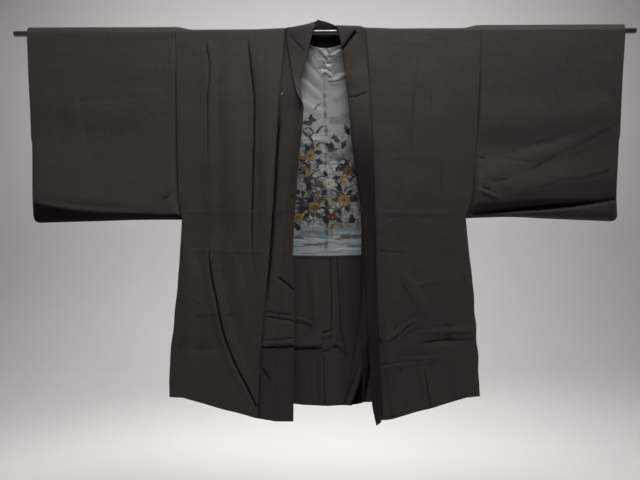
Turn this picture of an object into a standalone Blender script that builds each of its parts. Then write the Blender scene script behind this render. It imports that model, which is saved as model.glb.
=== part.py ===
"""A haori, the open Japanese jacket, hung flat on a straight rod through both sleeves.

Metres, +Z up.  The origin is the middle of the rod.  The front faces -Y, and left and right
are as seen from the front.  Every panel of cloth is a thin wall around a middle surface.
The surface hangs from the shoulder line on top of the rod, and is drawn from a few tables
in millimetres: seams, hems, the collar's stations and the largest folds.
"""
import math
from bisect import bisect_right

import bmesh
import bpy
from mathutils import Vector

MM = 0.001
LEFT, RIGHT = -1, 1
FRONT, BACK = -1, 1

# ---- Driving sizes -------------------------------------------------------------------------
ROD_RADIUS = 6.25 * MM
ROD_HALF_LENGTH = 712 * MM
ROD_CHAMFER = 1.0 * MM
SEAM = 0.3 * MM                    # clear space between neighbouring pieces
NECK_SEAM = 0.8 * MM               # the same along the curved back neckline
CLOTH = 1.3 * MM                   # wall of the outer cloth
COLLAR_CLOTH = 1.4 * MM
LINING = 1.0 * MM                  # wall of the lining and of the turned-up hem
CLOTH_LIFT = SEAM + CLOTH / 2      # middle of the outer cloth above the rod
LINING_LIFT = -LINING / 2          # middle of the inner layer, one seam inside the cloth
ARC = math.pi / 2 * (ROD_RADIUS + CLOTH_LIFT)     # cloth from the shoulder line to rod height
CREASE_HEIGHT = 14.5 * MM          # the sleeves' pressed top edge above the rod's axis
CREASE_REACH = 48 * MM             # how far that crease runs into the body panels
FRONT_LENGTH = 875 * MM            # at the collar seam, below the rod's axis
BACK_LENGTH = 860 * MM             # at the centre seam
NECK_HALF = 92 * MM                # half the slit cut for the neck
NECK_SAG = 45 * MM                 # how low the slack back neckline hangs
CUFF_OPENING = 236 * MM            # height of the open part of the sleeve's outer edge
CUFF_CLOSE = 20 * MM               # the stretch over which that edge closes
SLEEVE_CORNER = 14 * MM            # rounding of the sleeve's lower outer corner
SLEEVE_ROLL = 8 * MM               # how far from a closed edge the sleeve's walls part
SLEEVE_DEPTH_TOP = ROD_RADIUS + CLOTH_LIFT
SLEEVE_DEPTH_LOW = 5.2 * MM
LINING_TOP = 14 * MM               # below the rod's axis, beside the neck
LINING_FIRST_ROWS = 0.6 * MM       # spacing of the lining's rows where they crowd below the rod
LOOP_DROP = 404 * MM
LOOP_CORD = 1.0 * MM               # radius of the cord that a loop is made of
LOOP_HALF_WIDTH = 3.2 * MM
LOOP_LENGTH = 13 * MM
LOOP_CLEAR = 0.7 * MM              # from the sloping collar to the cord's end at its middle

# ---- Rows shared by neighbouring pieces, so that their seams match -------------------------
ARC_ROWS = 4
ARMHOLE_DROPS = [20, 50, 90, 140, 190, 232, 258, 300, 345, 385, 427.5]
SLEEVE_HEM_DROPS = [407, 417, 423, 426, 427.5]      # the sleeve's rows after the last but one
SKIRT_SHARES = [0.06, 0.12, 0.20, 0.29, 0.39, 0.49, 0.60, 0.71, 0.82, 0.92, 1.0]
LINING_SHARE = 0.20                                 # the skirt row where the lining ends
FRONT_COLUMNS = 13
BACK_COLUMNS = [276, 212, 150, 92, 88.9, 85.6, 82.3, 79, 70, 50, 26, 0]   # at the shoulder
SLEEVE_COLUMNS = [0.0, 0.12, 0.26, 0.40, 0.54, 0.68, 0.82, 0.94, 0.985, 0.997, 1.0]


def table(columns, rows):
    """A table in millimetres as a list of rows with named columns in metres."""
    names = columns.split()
    return [dict(zip(names, [value * MM for value in row])) for row in rows]


# Distance of the seams from the centre line: armhole seam, then side seam below the sleeve.
# It runs straight from row to row.
SIDE_SEAM = table("drop left right", [
    (-12, 344, 357), (50, 341, 354), (190, 339, 348), (300, 338, 341), (385, 336, 333),
    (427.5, 328, 318), (500, 325, 315), (656, 326, 315), (840, 326, 315)])
# Outermost fold line of the side gusset.
GUSSET_FOLD = table("drop left right", [
    (427.5, 330, 320), (500, 333, 327), (570, 338, 332), (660, 346, 338), (760, 355, 343),
    (840, 359, 346)])
# Seam between front panel and collar.
COLLAR_SEAM = table("drop left right", [
    (-12, 92, 92), (60, 97, 96), (150, 105, 102), (272, 113, 107), (403, 121, 110),
    (565, 134, 113), (707, 149, 118), (845, 157, 123), (885, 157, 124)])
# Outer edge of the sleeve, and its lower edge by distance from the armhole.
SLEEVE_EDGE = table("drop left right", [
    (-12, 680, 686), (90, 677, 679), (183, 673, 674), (275, 671, 670), (376, 671, 665),
    (430, 669, 667)])
SLEEVE_HEM = table("drop left right", [
    (0, 427.5, 427.5), (40, 427, 426), (107, 422, 425), (185, 426, 429), (330, 430, 436)])
# Height of the hems by distance from the centre line.
HEM = table("drop front back", [
    (0, 884, 860), (50, 884, 857), (104, 883, 851), (157, 875, 847), (205, 865, 843),
    (235, 858, 841), (287, 843, 838), (326, 832, 836)])
# How far the cloth stands off the rod's tangent: at the open middle and at the side seams.
FULLNESS = table("drop front_middle front_side back_middle back_side", [
    (0, 0, 0, 0, 0), (60, 2.5, 0.2, 1, 0.1), (150, 5, 0.4, 2, 0.3), (300, 8, 1, 3, 0.8),
    (430, 10, 2, 4, 1.5), (600, 11.5, 4.5, 5, 3), (885, 13, 7, 6, 5)])
MIDDLE_REACH = 230 * MM            # the middle values fade out over this distance

# Stations of the collar: the roll, where it folds outwards, and its free edge.
# The roll's cloth is `open` thick there, from the inner leaf to the outer leaf.
STATION = "drop roll_x roll_y roll_z edge_x edge_y edge_z open"
SHOULDER_LEFT = (-ARC / MM, -27, 0, 11.5, -86, 0, 12, 3.4)
SHOULDER_RIGHT = (-ARC / MM, 33, 0, 11.5, 86, 0, 12, 3.4)
COLLAR_LEFT = table(STATION, [
    SHOULDER_LEFT,
    (-3, -28, -9, 6, -86, -12, 6, 3.6), (18, -33, -13, -19, -87, -15, -17, 3.6),
    (50, -41, -15, -54, -83, -18, -50, 3.8), (95, -52, -18, -95, -76, -22, -90, 4.2),
    (125, -58, -20, -120, -70, -27, -121, 5), (152, -54, -24, -149, -62, -33, -150, 6),
    (176, -53, -26, -174, -50, -40, -174, 6), (210, -58, -25, -207, -51, -42, -207, 5),
    (243, -66, -24, -240, -54, -41, -240, 4), (325, -78, -23, -325, -63, -36, -325, 3),
    (378, -82, -22, -377, -67, -33, -377, 2), (508, -95, -22, -508, -75, -28, -508, 2),
    (610, -103, -22, -612, -73, -25, -612, 1.5), (722, -112, -22, -727, -74, -23, -727, 1.5),
    (875, -118, -21, -884, -76, -22, -884, 1.5)])
COLLAR_RIGHT = table(STATION, [
    SHOULDER_RIGHT,
    (-3, 34, -9, 6, 86, -12, 6, 3.6), (18, 37, -13, -20, 89, -15, -17, 3.6),
    (50, 44, -15, -52, 92, -18, -50, 3.6), (95, 46, -17, -94, 95, -20, -94, 3.6),
    (163, 50, -19, -163, 98, -23, -163, 4), (275, 59, -22, -275, 103, -26, -275, 5),
    (387, 72, -27, -387, 106, -28, -387, 6), (514, 78, -34, -514, 107, -29, -513, 6),
    (678, 88, -39, -678, 112, -31, -677, 6), (790, 96, -41, -791, 116, -32, -790, 6),
    (839, 100, -41, -840, 118, -32, -839, 6), (883, 109, -41, -887, 120, -32, -884, 6)])
# Behind the neck the stations run by the seam's place across the neck slit.
COLLAR_NECK = table("drop" + STATION[4:], [
    (-92,) + SHOULDER_LEFT[1:],
    (-84, -27, 5, 14, -84, 9, 12, 3.6), (-72, -25, 10, 20, -78, 15, 8, 3.8),
    (-55, -22, 13, 26, -66, 18.5, 3, 4), (-35, -17, 14.5, 31, -46, 20, -2, 4),
    (-12, -7, 15, 29, -15, 21, -4, 4), (12, 6, 15, 25, 15, 21, -4, 4),
    (35, 14, 14.5, 22, 46, 20, -2, 4), (55, 22, 13, 19, 66, 18.5, 3, 4),
    (72, 28, 10, 16, 78, 15, 7, 3.8), (84, 31, 5, 13.5, 84, 9, 11, 3.6),
    (92,) + SHOULDER_RIGHT[1:]])

# The largest folds: a soft ridge (or trough, where height is below 0) from one end to the
# other, pushed sideways by `bow` at its middle.  Height is away from the body's inside.
FOLD = "from_x from_drop to_x to_drop bow half_width height"
FRONT_FOLDS = table(FOLD, [
    (-268, 20, -262, 500, 1, 24, 3.5), (-174, 0, -154, 610, 4, 24, -4.5),
    (-125, 40, -150, 800, 3, 22, 4.5), (-266, 470, -160, 850, -22, 26, 6.5),
    (-215, 80, -205, 560, 0, 26, 2.5), (-305, 520, -300, 840, -4, 22, 3),
    (165, 540, 222, 650, 6, 20, 4), (125, 715, 222, 652, 3, 15, 3),
    (190, 715, 330, 698, 2, 16, -2.5), (120, 760, 270, 744, 2, 15, 2.5),
    (216, 740, 240, 880, 0, 20, 4.5), (150, 60, 160, 560, -3, 26, -2.5),
    (245, 60, 236, 430, 2, 24, 2.5), (290, 470, 300, 840, 3, 24, 3)])
BACK_FOLDS = table(FOLD, [
    (104, 470, 54, 880, 14, 22, -7), (-60, 300, -30, 880, -6, 26, 3),
    (-205, 60, -215, 700, 4, 30, 4), (190, 60, 215, 760, -4, 30, 4),
    (-280, 420, -262, 850, -3, 24, 3.5), (283, 430, 270, 850, 3, 24, 3)])
SLEEVE_FOLDS = table(FOLD, [
    (395, 398, 660, 352, 6, 24, -1.7), (350, 330, 668, 230, 4, 30, 2.2),
    (-660, 384, -372, 416, 3, 16, -1.4), (-600, 60, -560, 330, 4, 34, 1.6)])


# ---- Reading the tables --------------------------------------------------------------------
def read(rows, column, at, straight=False):
    """The column's value at a drop, on a smooth curve through the rows or straight lines."""
    drops = [row["drop"] for row in rows]
    values = [row[column] for row in rows]
    last = len(rows) - 1
    index = max(0, min(last - 1, bisect_right(drops, at) - 1))
    span = drops[index + 1] - drops[index]
    t = min(1.0, max(0.0, (at - drops[index]) / span))
    if straight:
        return values[index] * (1 - t) + values[index + 1] * t

    def slope(k):
        before, after = max(k - 1, 0), min(k + 1, last)
        return (values[after] - values[before]) / (drops[after] - drops[before]) * span

    ease = t * t * (3 - 2 * t)
    bend = slope(index) * t * (1 - t) ** 2 - slope(index + 1) * t * t * (1 - t)
    return values[index] * (1 - ease) + values[index + 1] * ease + bend


def hand_name(hand):
    return "left" if hand == LEFT else "right"


def ease(value):
    """Smooth step from 0 to 1."""
    value = min(1.0, max(0.0, value))
    return value * value * (3 - 2 * value)


def relief(folds, x, drop):
    """Height of all folds at one place of the cloth."""
    height = 0.0
    for fold in folds:
        run_x = fold["to_x"] - fold["from_x"]
        run_drop = fold["to_drop"] - fold["from_drop"]
        length = math.hypot(run_x, run_drop)
        along = (x - fold["from_x"]) * run_x + (drop - fold["from_drop"]) * run_drop
        along /= length * length
        if not 0.0 < along < 1.0:
            continue
        aside = (x - fold["from_x"]) * run_drop - (drop - fold["from_drop"]) * run_x
        aside = aside / length - fold["bow"] * math.sin(math.pi * along)
        across = aside / fold["half_width"]
        if abs(across) < 1.0:
            height += fold["height"] * (1 - across ** 2) ** 2 * math.sin(math.pi * along) ** 0.7
    return height


# ---- The hanging cloth ---------------------------------------------------------------------
def hang(face, x, drop, lift, crease=0.0, depth=0.0):
    """A point of the cloth: over the rod while drop is below 0, and straight down after it."""
    radius = ROD_RADIUS + lift
    if drop >= 0:
        return Vector((x, face * (radius + depth + SEAM / 2), -drop))
    angle = -drop / ARC * math.pi / 2
    slant = math.asin(radius / (CREASE_HEIGHT + lift - CLOTH_LIFT))
    if angle > slant:
        radius *= 1 + crease * (1 / math.cos(angle - slant) - 1)
    return Vector((x, face * (radius * math.cos(angle) + SEAM / 2), radius * math.sin(angle)))


def side_seam(hand, drop):
    return hand * read(SIDE_SEAM, hand_name(hand), drop, straight=True)


def collar_seam(hand, drop):
    return hand * read(COLLAR_SEAM, hand_name(hand), drop)


def neck_drop(x):
    """Drop of the back panel's upper edge: the slack neckline, or the shoulder line."""
    share = min(1.0, abs(x) / NECK_HALF)
    return NECK_SAG * (1 - share ** 2) - ARC


def body_point(face, x, drop, lift=CLOTH_LIFT):
    """A point of the body's front or back, with its fullness and folds."""
    hand = LEFT if x < 0 else RIGHT
    inward = abs(side_seam(hand, drop)) - abs(x)
    middle = ease(inward / MIDDLE_REACH)
    name = "front" if face == FRONT else "back"
    depth = read(FULLNESS, name + "_side", drop) * (1 - middle)
    depth += read(FULLNESS, name + "_middle", drop) * middle
    if drop > 0:
        folds = FRONT_FOLDS if face == FRONT else BACK_FOLDS
        depth += relief(folds, x, drop) * ease(drop / (30 * MM))
    crease = 1 - ease(inward / CREASE_REACH)
    return hang(face, x, drop, lift, crease, depth)


def body_drops(hem):
    """Drops of the body's rows, from the shoulder line to the hem."""
    armhole = [drop * MM for drop in ARMHOLE_DROPS]
    arc = [ARC * (row / ARC_ROWS - 1) for row in range(ARC_ROWS + 1)]
    skirt = [armhole[-1] + (hem - armhole[-1]) * share for share in SKIRT_SHARES]
    return arc + armhole + skirt


def front_grid(hand):
    """Rows from shoulder to hem, from the side seam in to the collar seam."""
    grid = []
    for row, nominal in enumerate(body_drops(FRONT_LENGTH)):
        outer = side_seam(hand, nominal)
        inner = collar_seam(hand, nominal)
        line = []
        for column in range(FRONT_COLUMNS + 1):
            x = outer + (inner - outer) * column / FRONT_COLUMNS
            drop = body_drops(read(HEM, "front", abs(x)))[row]
            line.append(body_point(FRONT, x, drop))
        grid.append(line)
    for line in grid:
        line[0].x -= hand * SEAM / 2
        line[-1].x += hand * SEAM / 2
    return grid


def back_places(hand):
    """Rows of (x, drop) from the neckline and shoulder to the hem, side seam to centre."""
    settle = 160 * MM
    shoulder = abs(side_seam(hand, -ARC))
    places = []
    for row, nominal in enumerate(body_drops(BACK_LENGTH)):
        outer = side_seam(hand, nominal)
        narrowing = ease(nominal / settle)
        line = []
        for distance in [shoulder] + [column * MM for column in BACK_COLUMNS]:
            narrowed = distance * abs(outer) / shoulder
            x = hand * (distance * (1 - narrowing) + narrowed * narrowing)
            if distance == shoulder:
                x = outer
            drop = body_drops(read(HEM, "back", abs(x)))[row]
            drop += (neck_drop(x) + ARC) * max(0.0, 1 - (drop + ARC) / settle)
            line.append((x, drop))
        places.append(line)
    return places


def back_grid(hand):
    """The back panel's points."""
    grid = [[body_point(BACK, x, drop) for x, drop in line] for line in back_places(hand)]
    for line in grid:
        line[0].x -= hand * SEAM / 2
        line[-1].x = hand * SEAM / 2
    return grid


# ---- Sleeves -------------------------------------------------------------------------------
def sleeve_edges(hand, drop, hem):
    """Armhole seam and outer edge of the sleeve at a drop, with its rounded lower corner."""
    outer = hand * read(SLEEVE_EDGE, hand_name(hand), drop)
    above = hem - drop
    if above < SLEEVE_CORNER:
        lost = SLEEVE_CORNER - math.sqrt(max(0.0, SLEEVE_CORNER ** 2 - (SLEEVE_CORNER - above) ** 2))
        outer -= hand * lost
    return side_seam(hand, drop), outer


def sleeve_parting(hand, x, drop, hem):
    """0 on the sleeve's closed lower and outer edges, rising to 1 where its walls part."""
    from_edge = abs(read(SLEEVE_EDGE, hand_name(hand), drop)) - abs(x)
    from_hem = hem - drop
    closed = ease((drop - CUFF_OPENING) / CUFF_CLOSE)
    if from_edge < SLEEVE_CORNER and from_hem < SLEEVE_CORNER:
        corner = math.hypot(SLEEVE_CORNER - from_edge, SLEEVE_CORNER - from_hem)
        from_edge = from_hem = SLEEVE_CORNER - corner

    def parted(distance):
        near = 1 - min(1.0, max(0.0, distance / SLEEVE_ROLL))
        return math.sqrt(max(0.0, 1 - near * near))

    outer = 1 - closed + closed * parted(from_edge)
    return min(parted(from_hem), outer)


def sleeve_grid(hand, face):
    """Rows from the shoulder line to the lower edge, from the armhole to the cuff."""
    grid = []
    lowest = ARMHOLE_DROPS[-1] * MM
    shared = body_drops(lowest)[:ARC_ROWS + len(ARMHOLE_DROPS)]
    for nominal in shared + [drop * MM for drop in SLEEVE_HEM_DROPS]:
        line = []
        for share in SLEEVE_COLUMNS:
            inner, outer = sleeve_edges(hand, nominal, lowest)
            x = inner + (outer - inner) * share
            hem = read(SLEEVE_HEM, hand_name(hand), abs(x - inner))
            drop = nominal if nominal < 0 else nominal * hem / lowest
            if drop < 0:
                point = hang(face, x, drop, CLOTH_LIFT, crease=1.0)
            else:
                low = ease(drop / hem)
                depth = SLEEVE_DEPTH_TOP * (1 - low) + SLEEVE_DEPTH_LOW * low
                if face == FRONT:
                    depth += relief(SLEEVE_FOLDS, x, drop)
                else:
                    depth += relief(SLEEVE_FOLDS, -x, drop)
                depth *= sleeve_parting(hand, x, drop, hem)
                point = Vector((x, face * (depth + SEAM / 2), -drop))
            line.append(point)
        line[0].x += hand * SEAM / 2
        grid.append(line)
    return grid


# ---- Gussets, lining and turned-up hem -----------------------------------------------------
def gusset_grid(hand):
    """Rows from the armpit to the hem: front seam, outermost fold, back seam."""
    grid = []
    start = ARC_ROWS + len(ARMHOLE_DROPS)
    for row in range(start, start + len(SKIRT_SHARES) + 1):
        edges = []
        for face, name, length in ((FRONT, "front", FRONT_LENGTH), (BACK, "back", BACK_LENGTH)):
            x = side_seam(hand, body_drops(length)[row])
            drop = body_drops(read(HEM, name, abs(x)))[row]
            point = body_point(face, x, drop)
            point.x += hand * SEAM / 2
            edges.append(point)
        middle = (edges[0] + edges[1]) / 2
        fold = Vector((hand * read(GUSSET_FOLD, hand_name(hand), -middle.z), 0, middle.z))
        if row == start:
            for point in edges + [fold]:
                point.z -= CLOTH
        front_half = edges[0].lerp(fold, 0.5)
        back_half = edges[1].lerp(fold, 0.5)
        grid.append([edges[0], front_half, fold, back_half, edges[1]])
    return grid


def inner_grid(hand, first_row, last_row):
    """A layer one seam inside the back panel, made from the back panel's own places."""
    grid = []
    for row in range(first_row, last_row + 1):
        line = []
        for x, drop in back_places(hand)[row][1:]:
            drop = max(drop + SEAM, LINING_TOP + row * LINING_FIRST_ROWS)
            point = body_point(BACK, x, drop, LINING_LIFT)
            point.x = point.x if x else hand * SEAM / 2
            line.append(point)
        grid.append(line)
    return grid


# ---- Collar --------------------------------------------------------------------------------
def rounded(corners, steps):
    """Points along a smooth curve that is drawn towards the corners and starts and ends on them."""
    pieces = len(corners) - 2
    points = [corners[0].copy()]
    for piece in range(pieces):
        first, control, last = corners[piece:piece + 3]
        start = first if piece == 0 else (first + control) / 2
        end = last if piece == pieces - 1 else (control + last) / 2
        for step in range(1, steps[piece] + 1):
            t = step / steps[piece]
            points.append(start * (1 - t) ** 2 + control * 2 * t * (1 - t) + end * t * t)
    return points


def collar_section(seam, rows, at):
    """Across the collar: from its seam over the inner leaf and the roll to the free edge."""
    roll = Vector([read(rows, "roll_" + axis, at) for axis in "xyz"])
    edge = Vector([read(rows, "edge_" + axis, at) for axis in "xyz"])
    outwards = Vector((0, seam.y, max(0.0, seam.z))).normalized()
    half_open = outwards * read(rows, "open", at) / 2
    inner_roll, outer_roll = roll - half_open, roll + half_open
    corners = [seam, seam.lerp(inner_roll, 0.55), inner_roll,
               outer_roll, outer_roll.lerp(edge, 0.5), edge]
    return rounded(corners, (2, 3, 3, 2))


def collar_front_grid(hand):
    """Rows from the shoulder line to the hem."""
    rows = COLLAR_LEFT if hand == LEFT else COLLAR_RIGHT
    grid = []
    for row, nominal in enumerate(body_drops(FRONT_LENGTH)):
        x = collar_seam(hand, nominal)
        drop = body_drops(read(HEM, "front", abs(x)))[row]
        seam = body_point(FRONT, x, drop)
        seam.x -= hand * SEAM / 2
        line = collar_section(seam, rows, drop)
        if row == 0:
            for point in line:
                point.y = -SEAM / 2
        grid.append(line)
    return grid


def collar_neck_grid():
    """Stations from the left shoulder line, behind the neck, to the right shoulder line."""
    half = [column * MM for column in BACK_COLUMNS if column * MM <= NECK_HALF]
    stations = [-x for x in half] + half[-2::-1]
    grid = []
    for x in stations:
        seam = body_point(BACK, x, max(neck_drop(x) - NECK_SEAM, -ARC))
        line = collar_section(seam, COLLAR_NECK, x)
        if x in (stations[0], stations[-1]):
            line[0].x -= math.copysign(SEAM, x)
            for point in line:
                point.y = SEAM / 2
        grid.append(line)
    return grid


# ---- Making the objects --------------------------------------------------------------------
def grid_normals(grid, flat_x, flat_y):
    """Unit normals of a grid; on the named columns and rows they are turned square to a seam."""
    rows, columns = len(grid), len(grid[0])
    normals = []
    for j in range(rows):
        line = []
        for i in range(columns):
            along = grid[min(j + 1, rows - 1)][i] - grid[max(j - 1, 0)][i]
            across = grid[j][min(i + 1, columns - 1)] - grid[j][max(i - 1, 0)]
            normal = across.cross(along)
            if i in flat_x:
                normal.x = 0
            if j in flat_y:
                normal.y = 0
            line.append(normal.normalized())
        normals.append(line)
    return normals


def cloth_wall(name, grid, thickness, material, collection, flat_x=(), flat_y=(), normals=None):
    """A closed wall of even thickness on both sides of a grid of points."""
    rows, columns = len(grid), len(grid[0])
    normals = normals or grid_normals(grid, flat_x, flat_y)
    mesh = bmesh.new()
    sides = []
    for sign in (-0.5, 0.5):
        sides.append([[mesh.verts.new(point + normal * thickness * sign)
                       for point, normal in zip(points, directions)]
                      for points, directions in zip(grid, normals)])
    for side in sides:
        for j in range(rows - 1):
            for i in range(columns - 1):
                mesh.faces.new((side[j][i], side[j][i + 1], side[j + 1][i]))
                mesh.faces.new((side[j][i + 1], side[j + 1][i + 1], side[j + 1][i]))
    border = [(0, i) for i in range(columns)] + [(j, columns - 1) for j in range(1, rows)]
    border += [(rows - 1, i) for i in range(columns - 2, -1, -1)]
    border += [(j, 0) for j in range(rows - 2, 0, -1)]
    for (j, i), (next_j, next_i) in zip(border, border[1:] + border[:1]):
        mesh.faces.new((sides[0][j][i], sides[0][next_j][next_i],
                        sides[1][next_j][next_i], sides[1][j][i]))
    bmesh.ops.recalc_face_normals(mesh, faces=mesh.faces)
    bmesh.ops.triangulate(mesh, faces=mesh.faces)
    data = bpy.data.meshes.new(name)
    mesh.to_mesh(data)
    mesh.free()
    data.shade_smooth()
    data.set_sharp_from_angle(angle=math.radians(50))
    data.materials.append(material)
    part = bpy.data.objects.new(name, data)
    collection.objects.link(part)
    return part


def make_material(name, color, roughness, sheen=0.0, metallic=0.0):
    """A Principled material."""
    material = bpy.data.materials.new(name)
    material.use_nodes = True
    shader = material.node_tree.nodes["Principled BSDF"]
    shader.inputs["Base Color"].default_value = (*color, 1)
    shader.inputs["Roughness"].default_value = roughness
    shader.inputs["Metallic"].default_value = metallic
    shader.inputs["Sheen Weight"].default_value = sheen
    return material


def make_rod(material, collection):
    """The straight rod, with a small chamfer round each flat end."""
    bpy.ops.mesh.primitive_cylinder_add(vertices=32, radius=ROD_RADIUS,
                                        depth=2 * ROD_HALF_LENGTH,
                                        rotation=(0, math.pi / 2, 0))
    rod = bpy.context.object
    rod.name = rod.data.name = "rod"
    bevel = rod.modifiers.new("End chamfers", "BEVEL")
    bevel.width = ROD_CHAMFER
    bevel.limit_method = "ANGLE"
    rod.data.shade_smooth()
    rod.data.set_sharp_from_angle(angle=math.radians(40))
    rod.data.materials.append(material)
    for owner in rod.users_collection:
        owner.objects.unlink(rod)
    collection.objects.link(rod)


def make_loop(name, root, material, collection):
    """A hanging loop of fine cord whose two ends stand on the collar in front of the root."""
    stand = 2.6 * MM
    bend_steps = 8
    start = root + Vector((-LOOP_HALF_WIDTH, -LOOP_CLEAR, 0))
    points = [start, start + Vector((0, -stand, -0.6 * MM))]
    straight = LOOP_LENGTH - LOOP_HALF_WIDTH
    for step in range(bend_steps + 1):
        angle = math.pi * step / bend_steps
        points.append(root + Vector((-LOOP_HALF_WIDTH * math.cos(angle), -stand - LOOP_CLEAR,
                                     -straight - LOOP_HALF_WIDTH * math.sin(angle))))
    end = root + Vector((LOOP_HALF_WIDTH, -LOOP_CLEAR, 0))
    points += [end + Vector((0, -stand, -0.6 * MM)), end]
    curve = bpy.data.curves.new(name, "CURVE")
    curve.dimensions = "3D"
    curve.bevel_depth = LOOP_CORD
    curve.bevel_resolution = 1
    curve.use_fill_caps = True
    spline = curve.splines.new("POLY")
    spline.points.add(len(points) - 1)
    for place, point in zip(spline.points, points):
        place.co = (*point, 1)
    curve.materials.append(material)
    loop = bpy.data.objects.new(name, curve)
    collection.objects.link(loop)


def front_of(grid, drop, column, thickness):
    """The place on the front face of a wall at a drop, on one column of its grid."""
    row = next(row for row, line in enumerate(grid) if -line[column].z > drop)
    above, below = grid[row - 1][column], grid[row][column]
    share = (above.z + drop) / (above.z - below.z)
    normal = grid_normals(grid, (), ())[row][column]
    if normal.y > 0:
        normal = -normal
    return above.lerp(below, share) + normal * thickness / 2


def clear_scene():
    for item in list(bpy.data.objects):
        bpy.data.objects.remove(item, do_unlink=True)


def build():
    clear_scene()
    collection = bpy.data.collections.new("haori")
    bpy.context.scene.collection.children.link(collection)
    silk = make_material("Brown-black silk", (0.030, 0.025, 0.021), 0.72, sheen=0.3)
    satin = make_material("Grey satin", (0.24, 0.25, 0.27), 0.38, sheen=0.1)
    lacquer = make_material("Black rod", (0.012, 0.012, 0.012), 0.2)

    make_rod(lacquer, collection)
    last_front, last_back = FRONT_COLUMNS, len(BACK_COLUMNS)
    last_row = ARC_ROWS + len(ARMHOLE_DROPS) + len(SLEEVE_HEM_DROPS) - 1
    lining_row = ARC_ROWS + len(ARMHOLE_DROPS) + 1 + SKIRT_SHARES.index(LINING_SHARE)
    hem_row = ARC_ROWS + len(ARMHOLE_DROPS) + len(SKIRT_SHARES)
    for hand in (LEFT, RIGHT):
        name = hand_name(hand)
        cloth_wall("front_" + name, front_grid(hand), CLOTH, silk, collection,
                   flat_x=(0, last_front), flat_y=(0,))
        cloth_wall("back_" + name, back_grid(hand), CLOTH, silk, collection,
                   flat_x=(0, last_back), flat_y=(0,))
        for face, wall in ((FRONT, "front"), (BACK, "back")):
            grid = sleeve_grid(hand, face)
            normals = grid_normals(grid, (0,), (0, last_row))
            for line, directions in zip(grid, normals):
                if abs(line[-1].y) < CLOTH:
                    directions[-1] = Vector((directions[-1].x, 0, directions[-1].z)).normalized()
                else:
                    directions[-1] = Vector((0, directions[-1].y, directions[-1].z)).normalized()
            cloth_wall("sleeve_" + name + "_" + wall, grid, CLOTH, silk, collection,
                       normals=normals)
        gusset = gusset_grid(hand)
        cloth_wall("gusset_" + name, gusset, CLOTH, silk, collection, flat_x=(0, 4))
        lining = inner_grid(hand, 0, lining_row)
        turn_up = inner_grid(hand, lining_row, hem_row)
        for point in lining[-1]:
            point.z += SEAM
        for point in turn_up[-1]:
            point.z += LINING
        for layer, label, material in ((lining, "lining_", satin), (turn_up, "turn_up_", silk)):
            cloth_wall(label + name, layer, LINING, material, collection,
                       flat_x=(last_back - 1,))

    collars = {hand: collar_front_grid(hand) for hand in (LEFT, RIGHT)}
    for hand, grid in collars.items():
        cloth_wall("collar_" + hand_name(hand), grid, COLLAR_CLOTH, silk, collection,
                   flat_x=(0,), flat_y=(0,))
    neck = collar_neck_grid()
    cloth_wall("collar_neck", neck, COLLAR_CLOTH, silk, collection, flat_y=(0, len(neck) - 1))

    for hand, column in ((LEFT, 1), (RIGHT, 7)):
        root = front_of(collars[hand], LOOP_DROP, column, COLLAR_CLOTH)
        make_loop("loop_" + hand_name(hand), root, silk, collection)


build()
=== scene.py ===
"""Looks of the haori on its rod: the cloth as fine shells on the forms of the CAD solids.

Metres, in the CAD's frame.  The seams, hems and collar stations are those of part.py, a few of
them refined by a millimetre or so.  The creases are laid in millimetres, as places on the
cloth: x, and drop below the rod.
"""
import math

import bpy
import numpy as np
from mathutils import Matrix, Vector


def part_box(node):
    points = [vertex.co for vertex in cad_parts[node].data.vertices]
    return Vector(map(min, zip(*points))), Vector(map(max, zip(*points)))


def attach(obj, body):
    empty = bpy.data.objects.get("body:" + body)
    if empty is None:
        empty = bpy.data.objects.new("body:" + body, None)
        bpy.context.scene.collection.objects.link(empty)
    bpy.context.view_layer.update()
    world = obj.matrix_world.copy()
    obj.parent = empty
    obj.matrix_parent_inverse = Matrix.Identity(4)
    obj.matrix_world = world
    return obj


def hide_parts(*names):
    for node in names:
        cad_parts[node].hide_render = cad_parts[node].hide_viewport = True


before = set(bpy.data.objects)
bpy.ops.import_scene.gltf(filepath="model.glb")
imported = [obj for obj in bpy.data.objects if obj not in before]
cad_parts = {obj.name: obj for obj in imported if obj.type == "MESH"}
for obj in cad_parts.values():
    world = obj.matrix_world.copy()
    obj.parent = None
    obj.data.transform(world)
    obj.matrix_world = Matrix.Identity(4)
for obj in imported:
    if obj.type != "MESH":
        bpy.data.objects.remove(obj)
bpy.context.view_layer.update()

MM = 0.001
LEFT, RIGHT = -1, 1
FRONT, BACK = -1, 1

# ---- The CAD's sizes ----
ROD_RADIUS = 6.25 * MM
SEAM = 0.3 * MM
NECK_SEAM = 0.8 * MM
CLOTH = 1.3 * MM
COLLAR_CLOTH = 1.4 * MM
LINING = 1.0 * MM
CLOTH_LIFT = SEAM + CLOTH / 2
LINING_LIFT = -LINING / 2
ARC = math.pi / 2 * (ROD_RADIUS + CLOTH_LIFT)
CREASE_HEIGHT = 14.5 * MM
CREASE_REACH = 48 * MM
FRONT_LENGTH = 875 * MM
BACK_LENGTH = 860 * MM
NECK_HALF = 92 * MM
NECK_SAG = 45 * MM
CUFF_OPENING = 236 * MM
CUFF_CLOSE = 20 * MM
SLEEVE_CORNER = 14 * MM
SLEEVE_ROLL = 8 * MM
SLEEVE_WIDTH = 340 * MM
SLEEVE_LOWEST = 16 * MM             # height of the closer rows along the lower edge
SLEEVE_OUTMOST = 0.045              # share of the closer columns along the cuff
SLEEVE_DEPTH_TOP = ROD_RADIUS + CLOTH_LIFT
SLEEVE_DEPTH_LOW = 5.2 * MM
LINING_TOP = 14 * MM
LINING_FIRST_ROWS = 0.6 * MM
LINING_SHARE = 0.20
ARMPIT = 427.5 * MM


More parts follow.
